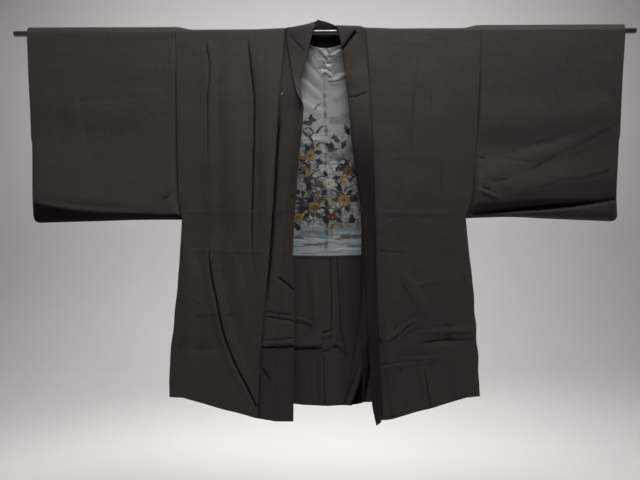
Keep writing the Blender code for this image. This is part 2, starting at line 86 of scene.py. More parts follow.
def table(columns, rows):
    """Rows of text in millimetres as named columns in metres."""
    rows = np.array([row.split() for row in rows.split(",")], float)
    return dict(zip(columns.split(), rows.T * MM))


SIDE_SEAM = table("drop left right", """
    -12 344 357, 50 341 354, 190 339 348, 300 338 341, 385 336 333, 427.5 328 318, 500 325 315,
    656 326 315, 840 326 315
""")
GUSSET_FOLD = table("drop left right", """
    427.5 330 320, 500 336 328.5, 570 342 335.5, 660 351 342.5, 760 361.5 348.5, 840 363.5 352
""")
COLLAR_SEAM = table("drop left right", """
    -12 92 92, 60 97 96, 150 105 102, 272 113 107, 403 121 110, 565 134 113, 707 149 118,
    845 157 123, 885 157 124
""")
SLEEVE_EDGE = table("drop left right", """
    -12 680 686, 90 677 679, 183 673 674, 275 671 670, 376 671 665, 430 669 667
""")
SLEEVE_HEM = table("drop left right", """
    0 427.5 427.5, 40 427 426, 107 427.2 425, 185 429.2 429, 330 432.5 436
""")
HEM = table("drop front back", """
    0 884 860, 50 884 857, 104 883 851, 140 882 848, 157 878 847, 205 865 843, 235 858 841,
    287 843 838, 326 832 836
""")
FULLNESS = table("drop front_middle front_side back_middle back_side", """
    0 0 0 0 0, 60 2.5 0.2 1 0.1, 150 5 0.4 2 0.3, 300 8 1 3 0.8, 430 10 2 4 1.5, 600 11.5 4.5 5 3,
    885 13 7 6 5
""")
MIDDLE_REACH = 230 * MM
BORDERS = (0.5 * MM, 1.3 * MM)      # close rows inside a cloth's edges, for crisp rims
# Spacing of the meshes' rows: above the armpit and below it.
FRONT_ROWS = (3.5 * MM, 3.3 * MM)
BACK_ROWS = (10.5 * MM, 10 * MM)
COLLAR_ROWS = (3 * MM, 3.1 * MM)
BODY_COLUMNS = 2.15 * MM
SLEEVE_ROWS, SLEEVE_COLUMNS = 3.9 * MM, 3.7 * MM
NECK_COLUMNS = 2.2 * MM

STATION = "drop roll_x roll_y roll_z edge_x edge_y edge_z open"
SHOULDER_LEFT = "-20 0 11.5 -86 0 11 3.0"
SHOULDER_RIGHT = "23 0 11.5 86 0 12 3.4"
COLLAR_LEFT = table(STATION, f"""
    {-ARC / MM} {SHOULDER_LEFT}, -3 -24 -9 6 -87 -10.2 6 2.6, 18 -32 -13 -19 -88 -11 -17 2.6,
    50 -41 -15 -54 -83 -13.4 -50 2.6, 95 -52 -18 -95 -76 -16.8 -90 2.6,
    125 -58 -20 -120 -70 -21.4 -121 3.2, 152 -54 -24 -149 -62 -29 -150 6,
    176 -53 -26 -174 -50 -40 -174 6, 210 -58 -25 -207 -51 -42 -207 5,
    243 -66 -24 -240 -54 -41 -240 4, 325 -78 -23 -325 -63 -36 -325 3,
    378 -82 -22 -377 -67 -33 -377 2, 508 -95 -22 -508 -75 -28 -508 2,
    610 -103 -22 -612 -73 -25 -612 1.5, 722 -112 -22 -727 -74 -23 -727 1.5,
    875 -118 -21 -884 -76 -22 -884 1.5
""")
COLLAR_RIGHT = table(STATION, f"""
    {-ARC / MM} {SHOULDER_RIGHT}, -3 26 -9 6 86 -11 6 3.2, 18 34 -13 -20 89 -12.6 -17 3.2,
    50 40 -15 -52 92 -15.4 -50 3.2, 95 44.5 -16 -94 95 -19 -94 3.4, 163 52.5 -16 -163 98 -25 -163 4,
    275 62 -17 -275 103 -31 -275 5, 387 76 -21 -387 106 -34 -387 6, 514 83 -27 -514 107 -35 -513 6,
    678 91.5 -39 -678 112 -31 -677 6, 790 98 -41 -791 116 -32 -790 6,
    839 100 -41 -840 118 -32 -839 6, 883 109 -41 -887 120 -32 -884 6
""")
COLLAR_NECK = table("drop" + STATION[4:], f"""
    -92 {SHOULDER_LEFT}, -84 -21 5 14 -84 9 12 3.6, -72 -21.5 10 20 -78 15 8 3.8,
    -55 -20.5 13 26 -66 18.5 3 4, -35 -16.5 14.5 31 -46 20 -2 4, -12 -7 15 29 -15 21 -4 4,
    12 6 15 25 15 21 -4 4, 35 13 14.5 22 46 20 -2 4, 55 18.5 13 19 66 18.5 3 4,
    72 21.5 10 16 78 15 7 3.8, 84 23 5 13.5 84 9 11 3.6, 92 {SHOULDER_RIGHT}
""")

FOLD = "from_x from_drop to_x to_drop bow half_width height"
FRONT_FOLDS = table(FOLD, """
    -268 20 -262 500 1 24 3.5, -174 0 -154 610 4 24 -4.5, -125 40 -150 800 3 22 4.5,
    -266 470 -160 850 -22 26 6.5, -215 80 -205 560 0 26 2.5, -305 520 -300 840 -4 22 3,
    165 540 222 650 6 20 4, 125 715 222 652 3 15 3, 190 715 330 698 2 16 -2.5,
    120 760 270 744 2 15 2.5, 216 740 240 880 0 20 4.5, 150 60 160 560 -3 26 -2.5,
    245 60 236 430 2 24 2.5, 290 470 300 840 3 24 3
""")
BACK_FOLDS = table(FOLD, """
    104 470 54 880 14 22 -7, -60 300 -30 880 -6 26 3, -205 60 -215 700 4 30 4,
    190 60 215 760 -4 30 4, -280 420 -262 850 -3 24 3.5, 283 430 270 850 3 24 3
""")
SLEEVE_FOLDS = table(FOLD, """
    395 398 660 352 6 24 -1.7, 350 330 668 230 4 30 2.2, -660 384 -372 416 3 16 -1.4,
    -600 60 -560 330 4 34 1.6
""")
SLEEVE_BACK_FOLDS = table(FOLD, """
    395 398 660 352 18 24 -1.1, 350 330 668 230 24 34 1.6, -660 384 -372 416 16 18 -1.1,
    -600 60 -560 330 16 34 1.4
""")


# ---- Creases ----
def creases(rows):
    """Each row is: width below or left of the line, width above or right of it, height, 1 for a
    pressed fold or 0 for a soft one, fade at its start, fade at its end, and then the line."""
    made = []
    for row in rows.split(";"):
        sizes, course = row.split(":")
        minus, plus, height, pressed, fade_in, fade_out = (float(v) for v in sizes.split())
        knots = np.array([place.split(",") for place in course.split()], float) * MM
        ends = np.vstack([2 * knots[0] - knots[1], knots, 2 * knots[-1] - knots[-2]])
        line = []
        for k in range(len(knots) - 1):
            a, b, c, d = ends[k:k + 4]
            for t in np.linspace(0, 1, 7)[:-1]:
                line.append(0.5 * (2 * b + (c - a) * t + (2 * a - 5 * b + 4 * c - d) * t * t
                                   + (3 * b - a - 3 * c + d) * t ** 3))
        line.append(knots[-1])
        made.append((np.array(line), minus * MM, plus * MM, height * MM, pressed,
                     fade_in, fade_out))
    return made


FRONT_CREASES = {LEFT: creases("""
    3.6 8 -1.61 0 .1 .6: -270,6 -270,40 -265,67 -265,113 -269,151 -269,264 -272,418;
    3.2 8 -2.1 0 .1 .36: -177,2 -172,68 -168,102 -163,158 -164,249 -166,317 -167,385 -169,418
        -168,502 -161,543 -150,606;
    40 40 3 0 .3 .4: -215,22 -214,203 -213,384 -209,520;
    7 4.2 -4.3 0 .2 0: -268,474 -265,502 -260,556 -247,619 -235,678 -218,728 -199,771 -180,806
        -161,848;
    3 3 -1.24 0 .4 .4: -237,705 -221,739 -203,773;
    3 4 -.99 1 .4 .4: -304,608 -293,617 -279,626;
    4 5 -.74 1 .1 .6: -327,645 -284,647 -218,644 -160,642;
    3 6 .65 1 .1 .05: -323,410 -251,411 -145,411;
    3 6 .8 1 .1 .05: -326,500 -267,498 -195,502 -145,500;
    18 28 -2 0 .05 .5: -350,709 -309,716 -255,720 -228,712;
    5 5 -.93 0 .3 .3: -169,776 -156,760 -146,724;
    30 20 2.6 0 .4 .4: -229,452 -200,565 -183,701;
    30 30 3 0 .3 .1: -308,474 -304,610 -314,791
"""), RIGHT: creases("""
    9 8 -.8 0 .3 .4: 213,37 209,83 202,126 200,168 195,236 192,296 190,360;
    9 9 -.7 0 .3 .4: 238,60 240,184 235,301 230,390;
    8 9 -.6 0 .4 .4: 264,274 263,331 259,405;
    8 8 .35 0 .4 .4: 126,294 163,288 200,286 246,284;
    4 6 .85 1 .05 .3: 117,412 167,415 230,418 311,414;
    7 7 -.7 0 .4 .4: 126,432 153,425 176,430;
    7 7 -.55 0 .4 .4: 206,433 230,427 254,431;
    4 4 -.87 1 .1 .5: 114,501 148,503 189,503;
    3.6 3.6 .7 0 .3 .3: 165,562 191,596 221,637;
    5 7 .65 0 .3 .4: 172,582 228,575 287,563;
    6 3.4 -1.6 0 .15 .4: 127,712 145,703 164,690 183,673 202,664 221,658;
    4 4 -1.24 0 .1 .2: 112,684 118,698 127,713;
    4.4 3.8 -.95 0 .4 .02: 186,711 237,706 277,704 330,703;
    8 14 1.6 0 .4 .1: 192,689 256,685 323,683;
    4 5 -1.24 0 .05 .4: 122,756 169,752 218,751 257,746;
    4 4 -1.61 0 .3 0: 220,761 226,802 229,827 236,861;
    4 4 .6 0 .4 .4: 149,768 165,781 183,797;
    16 24 3 0 .4 0: 130,612 142,747 155,860;
    26 26 3 0 .4 0: 284,500 292,635 296,816
""")}
SLEEVE_CREASES = {LEFT: creases("""
    70 60 1.6 0 .05 .2: -667,179 -599,184 -490,182 -381,162 -340,151;
    12 12 -.3 0 .2 .2: -663,155 -581,157 -490,152 -400,150 -345,148;
    4.5 5.5 -1.2 0 .3 .05: -378,381 -368,378 -359,377 -354,373 -348,368 -340,364;
    3 4 -.99 0 .3 .1: -352,384 -346,380 -339,376;
    4 6 .6 0 .4 .1: -377,351 -359,347 -341,342;
    60 60 .8 0 .2 .3: -512,18 -504,178 -495,337;
    50 60 .7 0 .3 .3: -669,63 -631,200 -614,359
"""), RIGHT: creases("""
    5.5 8 -.62 0 .2 .1: 444,330 466,319 495,303 535,282 577,264 630,236 663,219;
    9 6 -.9 0 .2 .1: 455,360 489,358 522,349 543,342 576,341 616,331 656,318;
    6 7 -.6 0 .4 .4: 380,367 407,366 436,363;
    5 7 -.85 0 .3 .4: 360,345 387,343 424,340;
    6 7 -.6 0 .3 .3: 387,296 423,295 452,300 494,307;
    4.5 4.5 -1.1 0 .1 .4: 343,357 360,360 378,363;
    6 8 2.25 0 .15 .4: 342,364 362,371 382,380 409,395;
    5 5 -.9 0 .1 .5: 343,290 353,292 366,288;
    5 5 -.9 0 .1 .5: 343,312 353,315 366,313;
    3 3 1 0 .2 .4: 343,334 352,337 362,332;
    3 4 1.2 0 .2 .4: 342,388 352,392 366,396;
    3 4 -.25 1 .3 .3: 420,69 534,74 652,72;
    60 60 2.2 0 .1 .1: 329,205 488,201 670,184;
    3 4 -.37 1 .4 .4: 516,103 525,149 547,160
""")}
COLLAR = creases("""
    2.6 2.6 -1.35 0 .1 .02: -83,6 -65,27 -47,47;
    4.6 5.6 -6.2 0 .05 0: 70,2 54,23 39,44;
    3 3 -1.5 1 .2 .1: -86,375 -77,378 -66,384;
    3 6 -2.86 0 .25 .02: -111,558 -102,565 -91,574 -75,588;
    3 3.2 -1.4 0 .15 .03: -150,633 -127,638 -105,641 -76,644;
    3.6 3.2 -1.8 0 .1 .02: -156,645 -134,648 -105,653 -73,657;
    3.2 34 2.8 1 .02 .02: -157,713 -128,711 -105,710 -74,709;
    3 2.6 -1.23 0 .02 .02: -157,719 -128,718 -105,717 -74,716;
    3 4 -1.09 0 .3 .02: -154,700 -116,699 -74,696;
    5 4 -2.18 0 .1 .5: -157,751 -141,771 -121,801;
    3 4.5 -1.36 0 .05 .05: 53,154 69,153 92,145;
    3 4 .61 1 .1 .02: -103,412 -88,411 -73,410;
    3 4 .61 1 .1 .02: -126,502 -99,501 -73,500
""")
TURN_UP = creases("""
    3.5 7 1.1 0 .02 .3: -80,658 -57,660 -37,668 -25,684;
    2.4 2.4 -1.16 0 .02 .3: -80,666 -57,668 -39,675 -28,688;
    3 3 .55 0 .3 .4: -57,656 -43,653 -24,654;
    3.2 32 2.8 1 .02 .1: -89,720 -61,720 -34,720 -9,719;
    3 2.6 -1.16 0 .02 .1: -89,728 -61,728 -34,728 -6,726;
    4 4 -1 0 .2 .2: -14,692 4,686 22,676;
    6 6 1 0 .2 .2: -16,700 2,696 20,688;
    4.6 6 -1.9 0 .2 .4: -18,729 -7,734 8,729 23,723 38,735 61,751;
    5 5 1.2 0 .3 .4: -8,716 -3,730 -6,748;
    3 3 -.9 0 .2 .4: -2,716 4,728 1,744;
    5 5 1.1 0 .3 .3: 8,704 16,714 30,716;
    2.6 4 -1.09 0 .2 .3: 30,640 34,690 44,726 60,748;
    7 7 .9 0 .4 .4: 15,707 26,716 40,721;
    16 5 6 0 .2 0: 87,499 94,585 97,684 88,760 72,810 53,860;
    2.6 2.2 -1.5 0 .02 .2: 10,504 11,560 12,640 9,700 2,726;
    2.4 2.4 -1.16 0 .05 .4: 24,506 27,560 30,615 33,695 42,730;
    5 5 .72 0 .05 .3: 17,506 19,600 21,700;
    2.4 2.4 -1.23 0 .1 0: -6,742 -6,790 -5,862;
    2.2 2.2 -.68 0 .1 0: -20,742 -21,790 -19,862;
    14 14 1.6 0 .3 .3: -37,526 -26,591 -24,684;
    10 12 1.1 0 .3 0: -62,753 -48,799 -55,854
""")
LINING_CREASES = creases("""
    5 11 2 0 .1 .3: -14,34 -4,47 9,62;
    7 15 2.7 0 .02 .3: 50,38 29,45 8,59;
    4 4 1.1 0 .2 .3: 2,28 8,37 18,44;
    16 16 -1 0 .3 .3: 34,62 28,78 34,94;
    6 4 -1.4 0 .3 .4: -2,66 8,69 20,66;
    5 9 1.1 0 .3 .4: -4,75 7,79 18,86;
    4 8 1.6 0 .25 .25: -13,104 -2,90 8,95 21,107;
    5 6 -1.3 0 .3 .3: 4,50 12,56 25,53;
    4 6 1 0 .3 .3: -9,58 -1,66 3,75;
    5 6 -1.1 0 .3 .3: 19,97 28,90 38,92;
    4 6 -1 0 .3 .3: -17,86 -8,80 0,85;
    5 9 1 0 .3 .3: 9,113 21,117 36,112;
    6 7 -.9 0 .3 .3: -22,40 -15,50 -12,62;
    4 10 1.8 0 .25 .05: 1,107 15,109 31,106 52,93;
    18 14 1.8 0 .15 .35: -56,62 -38,86 -18,108 0,136;
    15 10 1.2 0 .15 .35: -64,104 -34,126 0,158;
    13 10 1.2 0 .1 .3: -42,34 -32,60 -14,88;
    16 12 1.1 0 .15 .3: -60,156 -30,172 6,192;
    14 16 1.2 0 .2 .1: 14,152 42,138 66,120;
    18 20 1.3 0 .2 .3: -66,240 -30,250 4,246;
    16 20 1.3 0 .2 .2: 8,290 40,282 78,288;
    8 12 1.4 0 .1 .3: -64,395 -27,400 5,395;
    8 12 1.3 0 .2 .1: 19,411 51,405 84,409;
    8 8 .9 0 .2 .3: -69,457 -32,453 9,460;
    22 22 1.6 0 .3 .1: -31,200 -29,337 -40,499;
    20 20 1.6 0 .3 .1: 47,180 56,338 60,499;
    1.8 1.8 -.7 0 .02 0: -3,26 -3,120 -1,300 -1,512;
    4 4 .6 0 .1 0: 3,60 4,200 5,512;
    3 3 -.4 0 .2 .2: -10,128 -2,132 7,129;
    3 3 -.4 0 .2 .2: -9,156 -1,160 8,158;
    3.4 3.4 -.45 0 .2 .2: -8,183 -1,187 8,185;
    3 3 -.4 0 .2 .2: -9,211 0,215 9,212;
    3.4 3.4 -.45 0 .2 .2: -8,240 0,243 9,242;
    3 3 -.4 0 .2 .2: -9,268 0,272 8,270;
    3.4 3.4 -.45 0 .2 .2: -7,300 0,303 9,301;
    3 3 -.4 0 .2 .2: -8,330 1,334 9,331;
    3.4 3.4 -.45 0 .2 .2: -8,362 1,365 10,363;
    3 3 -.4 0 .2 .2: -8,392 1,396 9,393;
    3.4 3.4 -.45 0 .2 .2: -8,424 1,427 10,426;
    3 3 -.35 0 .2 .2: -8,455 1,459 9,456
""")
BACK_CREASES = creases("""
    12 14 -1.5 0 .35 .5: -262,30 -260,160 -263,330 -262,420;
    15 18 -1.9 0 .35 .5: -150,60 -148,200 -152,420 -150,520;
    14 17 -1.9 0 .35 .5: 166,40 168,170 164,330 168,470;
    11 14 -1.3 0 .35 .5: 262,30 264,180 258,330;
    17 15 -4.4 0 .35 0: -262,520 -240,610 -205,700 -180,780 -168,855;
    10 12 -2.9 0 .35 0: 225,750 232,800 240,856;
    12 11 4.2 0 .3 0: 90,560 110,640 104,740 86,855
""")
SLEEVE_BACKS = creases("""
    70 60 2.2 0 .05 .2: -664,190 -560,200 -420,184 -345,176;
    12 14 1.6 0 .2 .2: -640,392 -560,404 -450,410 -360,412;
    30 34 1.6 0 .3 .3: -520,60 -516,200 -524,330;
    12 16 -1.8 0 .4 .15: 380,300 470,276 560,236 664,190;
    11 14 -1.9 0 .4 .15: 400,360 500,350 590,326 660,308;
    12 14 2 0 .15 .4: 352,352 380,360 430,372;
    34 30 1.5 0 .3 .3: 470,70 474,180 468,300
""")


# ---- Reading the tables ----
def read(rows, column, at, straight=False):
    """The column's value at a drop, on a smooth curve through the rows or straight lines."""
    drops, values, last = rows["drop"], rows[column], len(rows["drop"]) - 1
    at = np.asarray(at, float)
    k = np.clip(np.searchsorted(drops, at, side="right") - 1, 0, last - 1)
    span = drops[k + 1] - drops[k]
    t = unit((at - drops[k]) / span)
    if straight:
        return values[k] * (1 - t) + values[k + 1] * t

    def slope(i):
        before, after = np.maximum(i - 1, 0), np.minimum(i + 1, last)
        return (values[after] - values[before]) / (drops[after] - drops[before]) * span

    smooth = t * t * (3 - 2 * t)
    bend = slope(k) * t * (1 - t) ** 2 - slope(k + 1) * t * t * (1 - t)
    return values[k] * (1 - smooth) + values[k + 1] * smooth + bend


def hand_name(hand):
    """The hand's name in the names of nodes and pieces, from the front."""
    return "left" if hand == LEFT else "right"


def unit(value):
    """The value, kept between 0 and 1."""
    return np.clip(value, 0, 1)


def ease(value):
    """From 0 to 1, smoothly at both ends."""
    value = unit(value)
    return value * value * (3 - 2 * value)


def rise(value, start, span):
    """From 0 to 1 as the value goes from start over the span, both in millimetres."""
    return ease((value - start * MM) / (span * MM))


def fall(value, end, span):
    """From 1 to 0 as the value comes up to the end over the span before it, in millimetres."""
    return ease((end * MM - value) / (span * MM))


def bezier(first, control, last, t):
    """The point at t on the curve drawn towards its control point."""
    return first * (1 - t) ** 2 + 2 * control * t * (1 - t) + last * t * t


def walked(line):
    """The way along a line of points, up to each of them."""
    return np.concatenate([[0], np.cumsum(np.linalg.norm(np.diff(line, axis=0), axis=1))])


def relief(folds, x, drop):
    """Height of the CAD's own folds."""
    height = np.zeros(np.broadcast(x, drop).shape)
    for from_x, from_drop, to_x, to_drop, bow, half_width, top in zip(*folds.values()):
        run_x, run_drop = to_x - from_x, to_drop - from_drop
        length = math.hypot(run_x, run_drop)
        along = ((x - from_x) * run_x + (drop - from_drop) * run_drop) / length ** 2
        arch = np.sin(np.pi * unit(along))
        aside = ((x - from_x) * run_drop - (drop - from_drop) * run_x) / length - bow * arch
        across = np.clip(aside / half_width, -1, 1)
        height += top * (1 - across ** 2) ** 2 * np.maximum(arch, 0) ** 0.7
    return height


def crease_height(lines, x, drop):
    """Height of the listed creases at places of the cloth."""
    x, drop = np.broadcast_arrays(x, drop)
    height = np.zeros(x.shape)
    for line, minus, plus, top, pressed, fade_in, fade_out in lines:
        reach = max(minus, plus)
        near = ((x > line[:, 0].min() - reach) & (x < line[:, 0].max() + reach)
                & (drop > line[:, 1].min() - reach) & (drop < line[:, 1].max() + reach))
        if not near.any():
            continue
        place = np.stack([x[near], drop[near]], -1)
        steps, starts = np.diff(line, axis=0), walked(line)
        lengths = np.linalg.norm(steps, axis=1)
        best = np.full(len(place), 1e9)
        side = np.zeros(len(place))
        along = np.zeros(len(place))
        for k in range(len(steps)):
            away = place - line[k]
            t = unit(away @ steps[k] / lengths[k] ** 2)
            gap = np.linalg.norm(away - t[:, None] * steps[k], axis=1)
            closer = gap < best
            best = np.where(closer, gap, best)
            turn = away[:, 0] * steps[k][1] - away[:, 1] * steps[k][0]
            side = np.where(closer, np.sign(turn), side)
            along = np.where(closer, (starts[k] + t * lengths[k]) / starts[-1], along)
        fade = np.ones(len(place))
        if fade_in:
            fade *= ease(along / fade_in)
        if fade_out:
            fade *= ease((1 - along) / fade_out)
        width = np.where(side > 0, plus, minus) * (0.45 + 0.55 * fade)
        t = unit(best / width)
        shape = (1 - t) ** 2 * (1 + 0.6 * t) if pressed else (1 - t ** 2) ** 2
        height[near] += top * fade * shape
    return height


def unevenness(x, drop, longest, shortest, seed):
    """Gentle waves of about unit height, from a few seeded sines."""
    dice = np.random.default_rng(seed)
    height = np.zeros(np.broadcast(x, drop).shape)
    for _ in range(9):
        length = dice.uniform(shortest, longest)
        turn = dice.uniform(0, 2 * np.pi)
        wave = 2 * np.pi / length
        height += np.sin(wave * (x * math.cos(turn) + drop * math.sin(turn))
                         + dice.uniform(0, 2 * np.pi))
    return height / 4


# ---- The hanging cloth ----
def places(x, y, z):
    """Coordinates of any matching shapes as one array of points."""
    return np.stack(np.broadcast_arrays(x, y, z), -1).astype(float)


def hang(face, x, drop, lift, crease, depth):
    """Places on the cloth: over the rod while drop is below 0, and straight down after it."""
    radius = ROD_RADIUS + lift
    angle = np.clip(-drop / ARC * np.pi / 2, 0, np.pi / 2)
    slant = math.asin(radius / (CREASE_HEIGHT + lift - CLOTH_LIFT))
    raised = np.where(angle > slant, 1 + crease * (1 / np.cos(angle - slant) - 1), 1.0)
    settle = SEAM / 2 * unit(1 - np.maximum(-drop, 0) / ARC)
    over = drop < 0
    y = np.where(over, radius * raised * np.cos(angle), radius + depth) + settle
    z = np.where(over, radius * raised * np.sin(angle), -drop)
    return places(x, face * y, z)


def side_seam(hand, drop):
    """x of the seam between the body and the sleeve or the gusset."""
    return hand * read(SIDE_SEAM, hand_name(hand), drop, straight=True)


def collar_seam(hand, drop):
    """x of the seam between the front and the collar."""
    return hand * read(COLLAR_SEAM, hand_name(hand), drop)


def neck_drop(x):
    """Drop of the back neckline."""
    share = np.minimum(1.0, np.abs(x) / NECK_HALF)
    return NECK_SAG * (1 - share ** 2) - ARC


def hem_drop(nominal, length, hem):
    """A row's drop where the hem is not at its nominal length."""
    below = ARMPIT + (hem - ARMPIT) * (nominal - ARMPIT) / (length - ARMPIT)
    return np.where(nominal > ARMPIT, below, nominal)


def tuck(distance, reach, sink):
    """How far a seam's allowance pulls the cloth in beside the seam."""
    return sink * (1 - unit(distance / reach)) ** 2


def body(face, x, drop, lift=CLOTH_LIFT, lines=(), seams=True, rough=1.0):
    """Places on the body's front or back, with its fullness, folds and creases."""
    hand = LEFT if np.mean(x) < 0 else RIGHT
    inward = np.abs(side_seam(hand, drop)) - np.abs(x)
    middle = ease(inward / MIDDLE_REACH)
    name = "front" if face == FRONT else "back"
    depth = read(FULLNESS, name + "_side", drop) * (1 - middle)
    depth = depth + read(FULLNESS, name + "_middle", drop) * middle
    start = rise(drop, 0, 30)
    folds, share = (FRONT_FOLDS, 0.6) if face == FRONT else (BACK_FOLDS, 1.0)
    depth = depth + share * relief(folds, x, drop) * start
    depth = depth + crease_height(lines, x, drop) * rise(drop, 0, 10)
    edge = rise(inward, 0, 20)
    depth = depth + rough * start * edge * (
        0.55 * MM * unevenness(x, drop, 150 * MM, 60 * MM, 3 + face)
        + 0.09 * MM * unevenness(x, drop, 44 * MM, 18 * MM, 9 + face))
    if seams:
        sunk = rise(drop + ARC, 0, 30) * (1 - 0.75 * rise(drop - ARMPIT, 0, 40))
        depth = depth - tuck(inward, 3 * MM, 1.9 * MM) * sunk
    crease = 1 - ease(inward / CREASE_REACH)
    grid = hang(face, x, drop, lift, crease, depth)
    beside = np.abs(x) - np.abs(collar_seam(hand, -ARC))
    lifted = 2.4 * MM * (1 - rise(beside, 0, 75)) * (beside > -1 * MM)
    grid[..., 2] += lifted * rise(grid[..., 2], -12, 18)
    return grid


def spaced(first, last, step, borders=BORDERS):
    """Even places from first to last, with two close ones inside each end."""
    count = max(2, round(abs(last - first) / step))
    even = np.linspace(first, last, count + 1)
    way = np.sign(last - first)
    near = [first + way * b for b in borders]
    far = [last - way * b for b in borders]
    return np.unique(np.round(np.concatenate([even, near, far]), 9))


ARC_STEPS = np.linspace(-ARC, 0, 9)[:-1]


def closing(count):
    """Shares from 1 down to 0 that crowd towards the end."""
    return (1 - np.linspace(0, 1, count)) ** 1.7


def body_rows(length, upper, lower):
    """Nominal drops from the shoulder to the hem, with a step above the armpit and one below."""
    return np.concatenate([ARC_STEPS, spaced(0, ARMPIT, upper, ())[:-1],
                           spaced(ARMPIT, length, lower)])


def shoulder_ends(hand):
    """Distances of the armhole and of the neck slit from the centre, on the rod."""
    return abs(float(side_seam(hand, -ARC))), abs(float(collar_seam(hand, -ARC)))


# ---- Materials ----
SILK_SHEEN, SILK_GLOSS = 0.1, 0.2


class Nodes:
    """A short way to write a material's node tree."""

    def __init__(self, name):
        self.material = bpy.data.materials.new(name)
        self.material.use_nodes = True
        self.tree = self.material.node_tree
        self.shader = self.tree.nodes["Principled BSDF"]
        self.where = self.add("TexCoord").outputs["Object"]

    def add(self, kind, sockets=None, **settings):
        node = self.tree.nodes.new("ShaderNode" + kind)
        for key, value in settings.items():
            setattr(node, key, value)
        self.fill(node, sockets or {})
        return node

    def fill(self, node, sockets):
        """Links a node's sockets to others, or sets them to constants."""
        for key, value in sockets.items():
            if isinstance(value, bpy.types.NodeSocket):
                self.tree.links.new(value, node.inputs[key])
            else:
                node.inputs[key].default_value = value

    def finish(self, **sockets):
        """The material, with the shader's sockets filled; _ stands for a space in their names."""
        self.fill(self.shader, {key.replace("_", " "): value for key, value in sockets.items()})
        return self.material

    def math(self, operation, first, second=0.0):
        return self.add("Math", {0: first, 1: second}, operation=operation).outputs[0]

    def sum(self, *values):
        total = values[0]
        for value in values[1:]:
            total = self.math("ADD", total, value)
        return total

    def mix(self, share, first, second, blend="MIX"):
        return self.add("Mix", {0: share, 6: first, 7: second}, data_type="RGBA",
                        blend_type=blend).outputs[2]

    def noise(self, scale, detail, stretch=(1, 1, 1), rough=0.5):
        place = self.add("Mapping", {"Vector": self.where, "Scale": stretch})
        return self.add("TexNoise", {"Vector": place.outputs[0], "Scale": scale,
                                     "Detail": detail, "Roughness": rough}).outputs["Fac"]

    def ramp(self, value, low, high, start=0.0, end=1.0):
        return self.add("MapRange", {"Value": value, "From Min": start, "From Max": end,
                                     "To Min": low, "To Max": high}).outputs[0]

    def grey(self, value):
        return self.add("CombineColor", dict.fromkeys(("Red", "Green", "Blue"), value)).outputs[0]

    def shade(self):
        """The painted shade in the cloth's folds and recesses, an attribute of its mesh."""
        return self.add("Attribute", attribute_name="shade").outputs["Fac"]

    def weave(self, pitch):
        """Height of a plain weave, warp down and weft across."""
        axes = self.add("SeparateXYZ", {"Vector": self.where})
        turns = 2 * math.pi / pitch
        warp, weft = (self.math("SINE", self.math("MULTIPLY", axes.outputs[k], turns))
                      for k in (0, 2))
        return self.math("MULTIPLY", warp, weft)

    def bump(self, height, distance, strength=1.0, below=None):
        sockets = {"Height": height, "Distance": distance, "Strength": strength}
        if below is not None:
            sockets["Normal"] = below
        return self.add("Bump", sockets).outputs[0]


def cloth_silk():
    """Fine brown-black silk crepe: weave, slubs and faint bars of the dye; its colour, sheen and
    gloss are darkened by painted shade in its folds.
    """
    n = Nodes("brown_black_silk")
    warp = n.noise(1.0, 3, (900, 900, 14), 0.6)
    weft = n.noise(1.0, 3, (16, 16, 760), 0.6)
    cloud = n.noise(14, 3)
    bars = n.noise(1.0, 2, (6, 6, 70))
    tone = n.sum(n.ramp(warp, -0.16, 0.16), n.ramp(weft, -0.16, 0.16),
                 n.ramp(cloud, -0.14, 0.14), n.ramp(bars, -0.07, 0.07))
    colour = n.mix(n.ramp(tone, 0.0, 1.0, -0.25, 0.25),
                   (0.0225, 0.0196, 0.0166, 1), (0.0426, 0.0366, 0.0308, 1))
    colour = n.mix(n.ramp(n.noise(5, 2), 0, 1, 0.35, 0.65), colour,
                   n.mix(1.0, colour, (1.07, 0.97, 0.95, 1), "MULTIPLY"))
    # depth is the painted shade of the folds and recesses: it darkens the colour, the sheen and the
    # gloss.
    depth = n.shade()
    threads = n.bump(n.weave(0.62 * MM), 0.05 * MM)
    slubs = n.bump(n.sum(warp, weft), 0.16 * MM, 1.0, threads)
    n.finish(Sheen_Weight=SILK_SHEEN, Specular_IOR_Level=SILK_GLOSS)
    return n.finish(
        Base_Color=n.mix(1.0, colour, n.grey(depth), "MULTIPLY"),
        Roughness=n.ramp(cloud, 0.58, 0.72),
        Sheen_Weight=n.math("MULTIPLY", depth, SILK_SHEEN), Sheen_Roughness=0.45,
        Sheen_Tint=(0.75, 0.68, 0.6, 1),
        Specular_IOR_Level=n.math("MULTIPLY", depth, SILK_GLOSS),
        Normal=n.bump(n.noise(160, 3), 0.5 * MM, 0.5, slubs))


def lining_satin():
    """Grey satin painted by hand; the paint is a colour attribute of the lining's mesh."""
    n = Nodes("painted_satin")
    paint = n.add("VertexColor", layer_name="paint").outputs["Color"]
    warp = n.noise(1.0, 3, (1100, 1100, 22), 0.6)
    shade = n.sum(n.ramp(warp, 0.88, 1.1), n.ramp(n.noise(11, 3), -0.1, 0.1),
                  n.ramp(n.noise(1.0, 2, (12, 12, 300)), -0.06, 0.06))
    # The satin's grey is darkened by the painted shade in its folds, corners and seam.
    grey = n.grey(n.math("MULTIPLY", shade, n.shade()))
    threads = n.bump(n.weave(0.5 * MM), 0.03 * MM)
    return n.finish(
        Base_Color=n.mix(1.0, paint, grey, "MULTIPLY"), Roughness=n.ramp(warp, 0.26, 0.38),
        Specular_IOR_Level=0.5, Sheen_Weight=0.1, Sheen_Roughness=0.35, Anisotropic=0.35,
        Normal=n.bump(warp, 0.08 * MM, 1.0, threads))


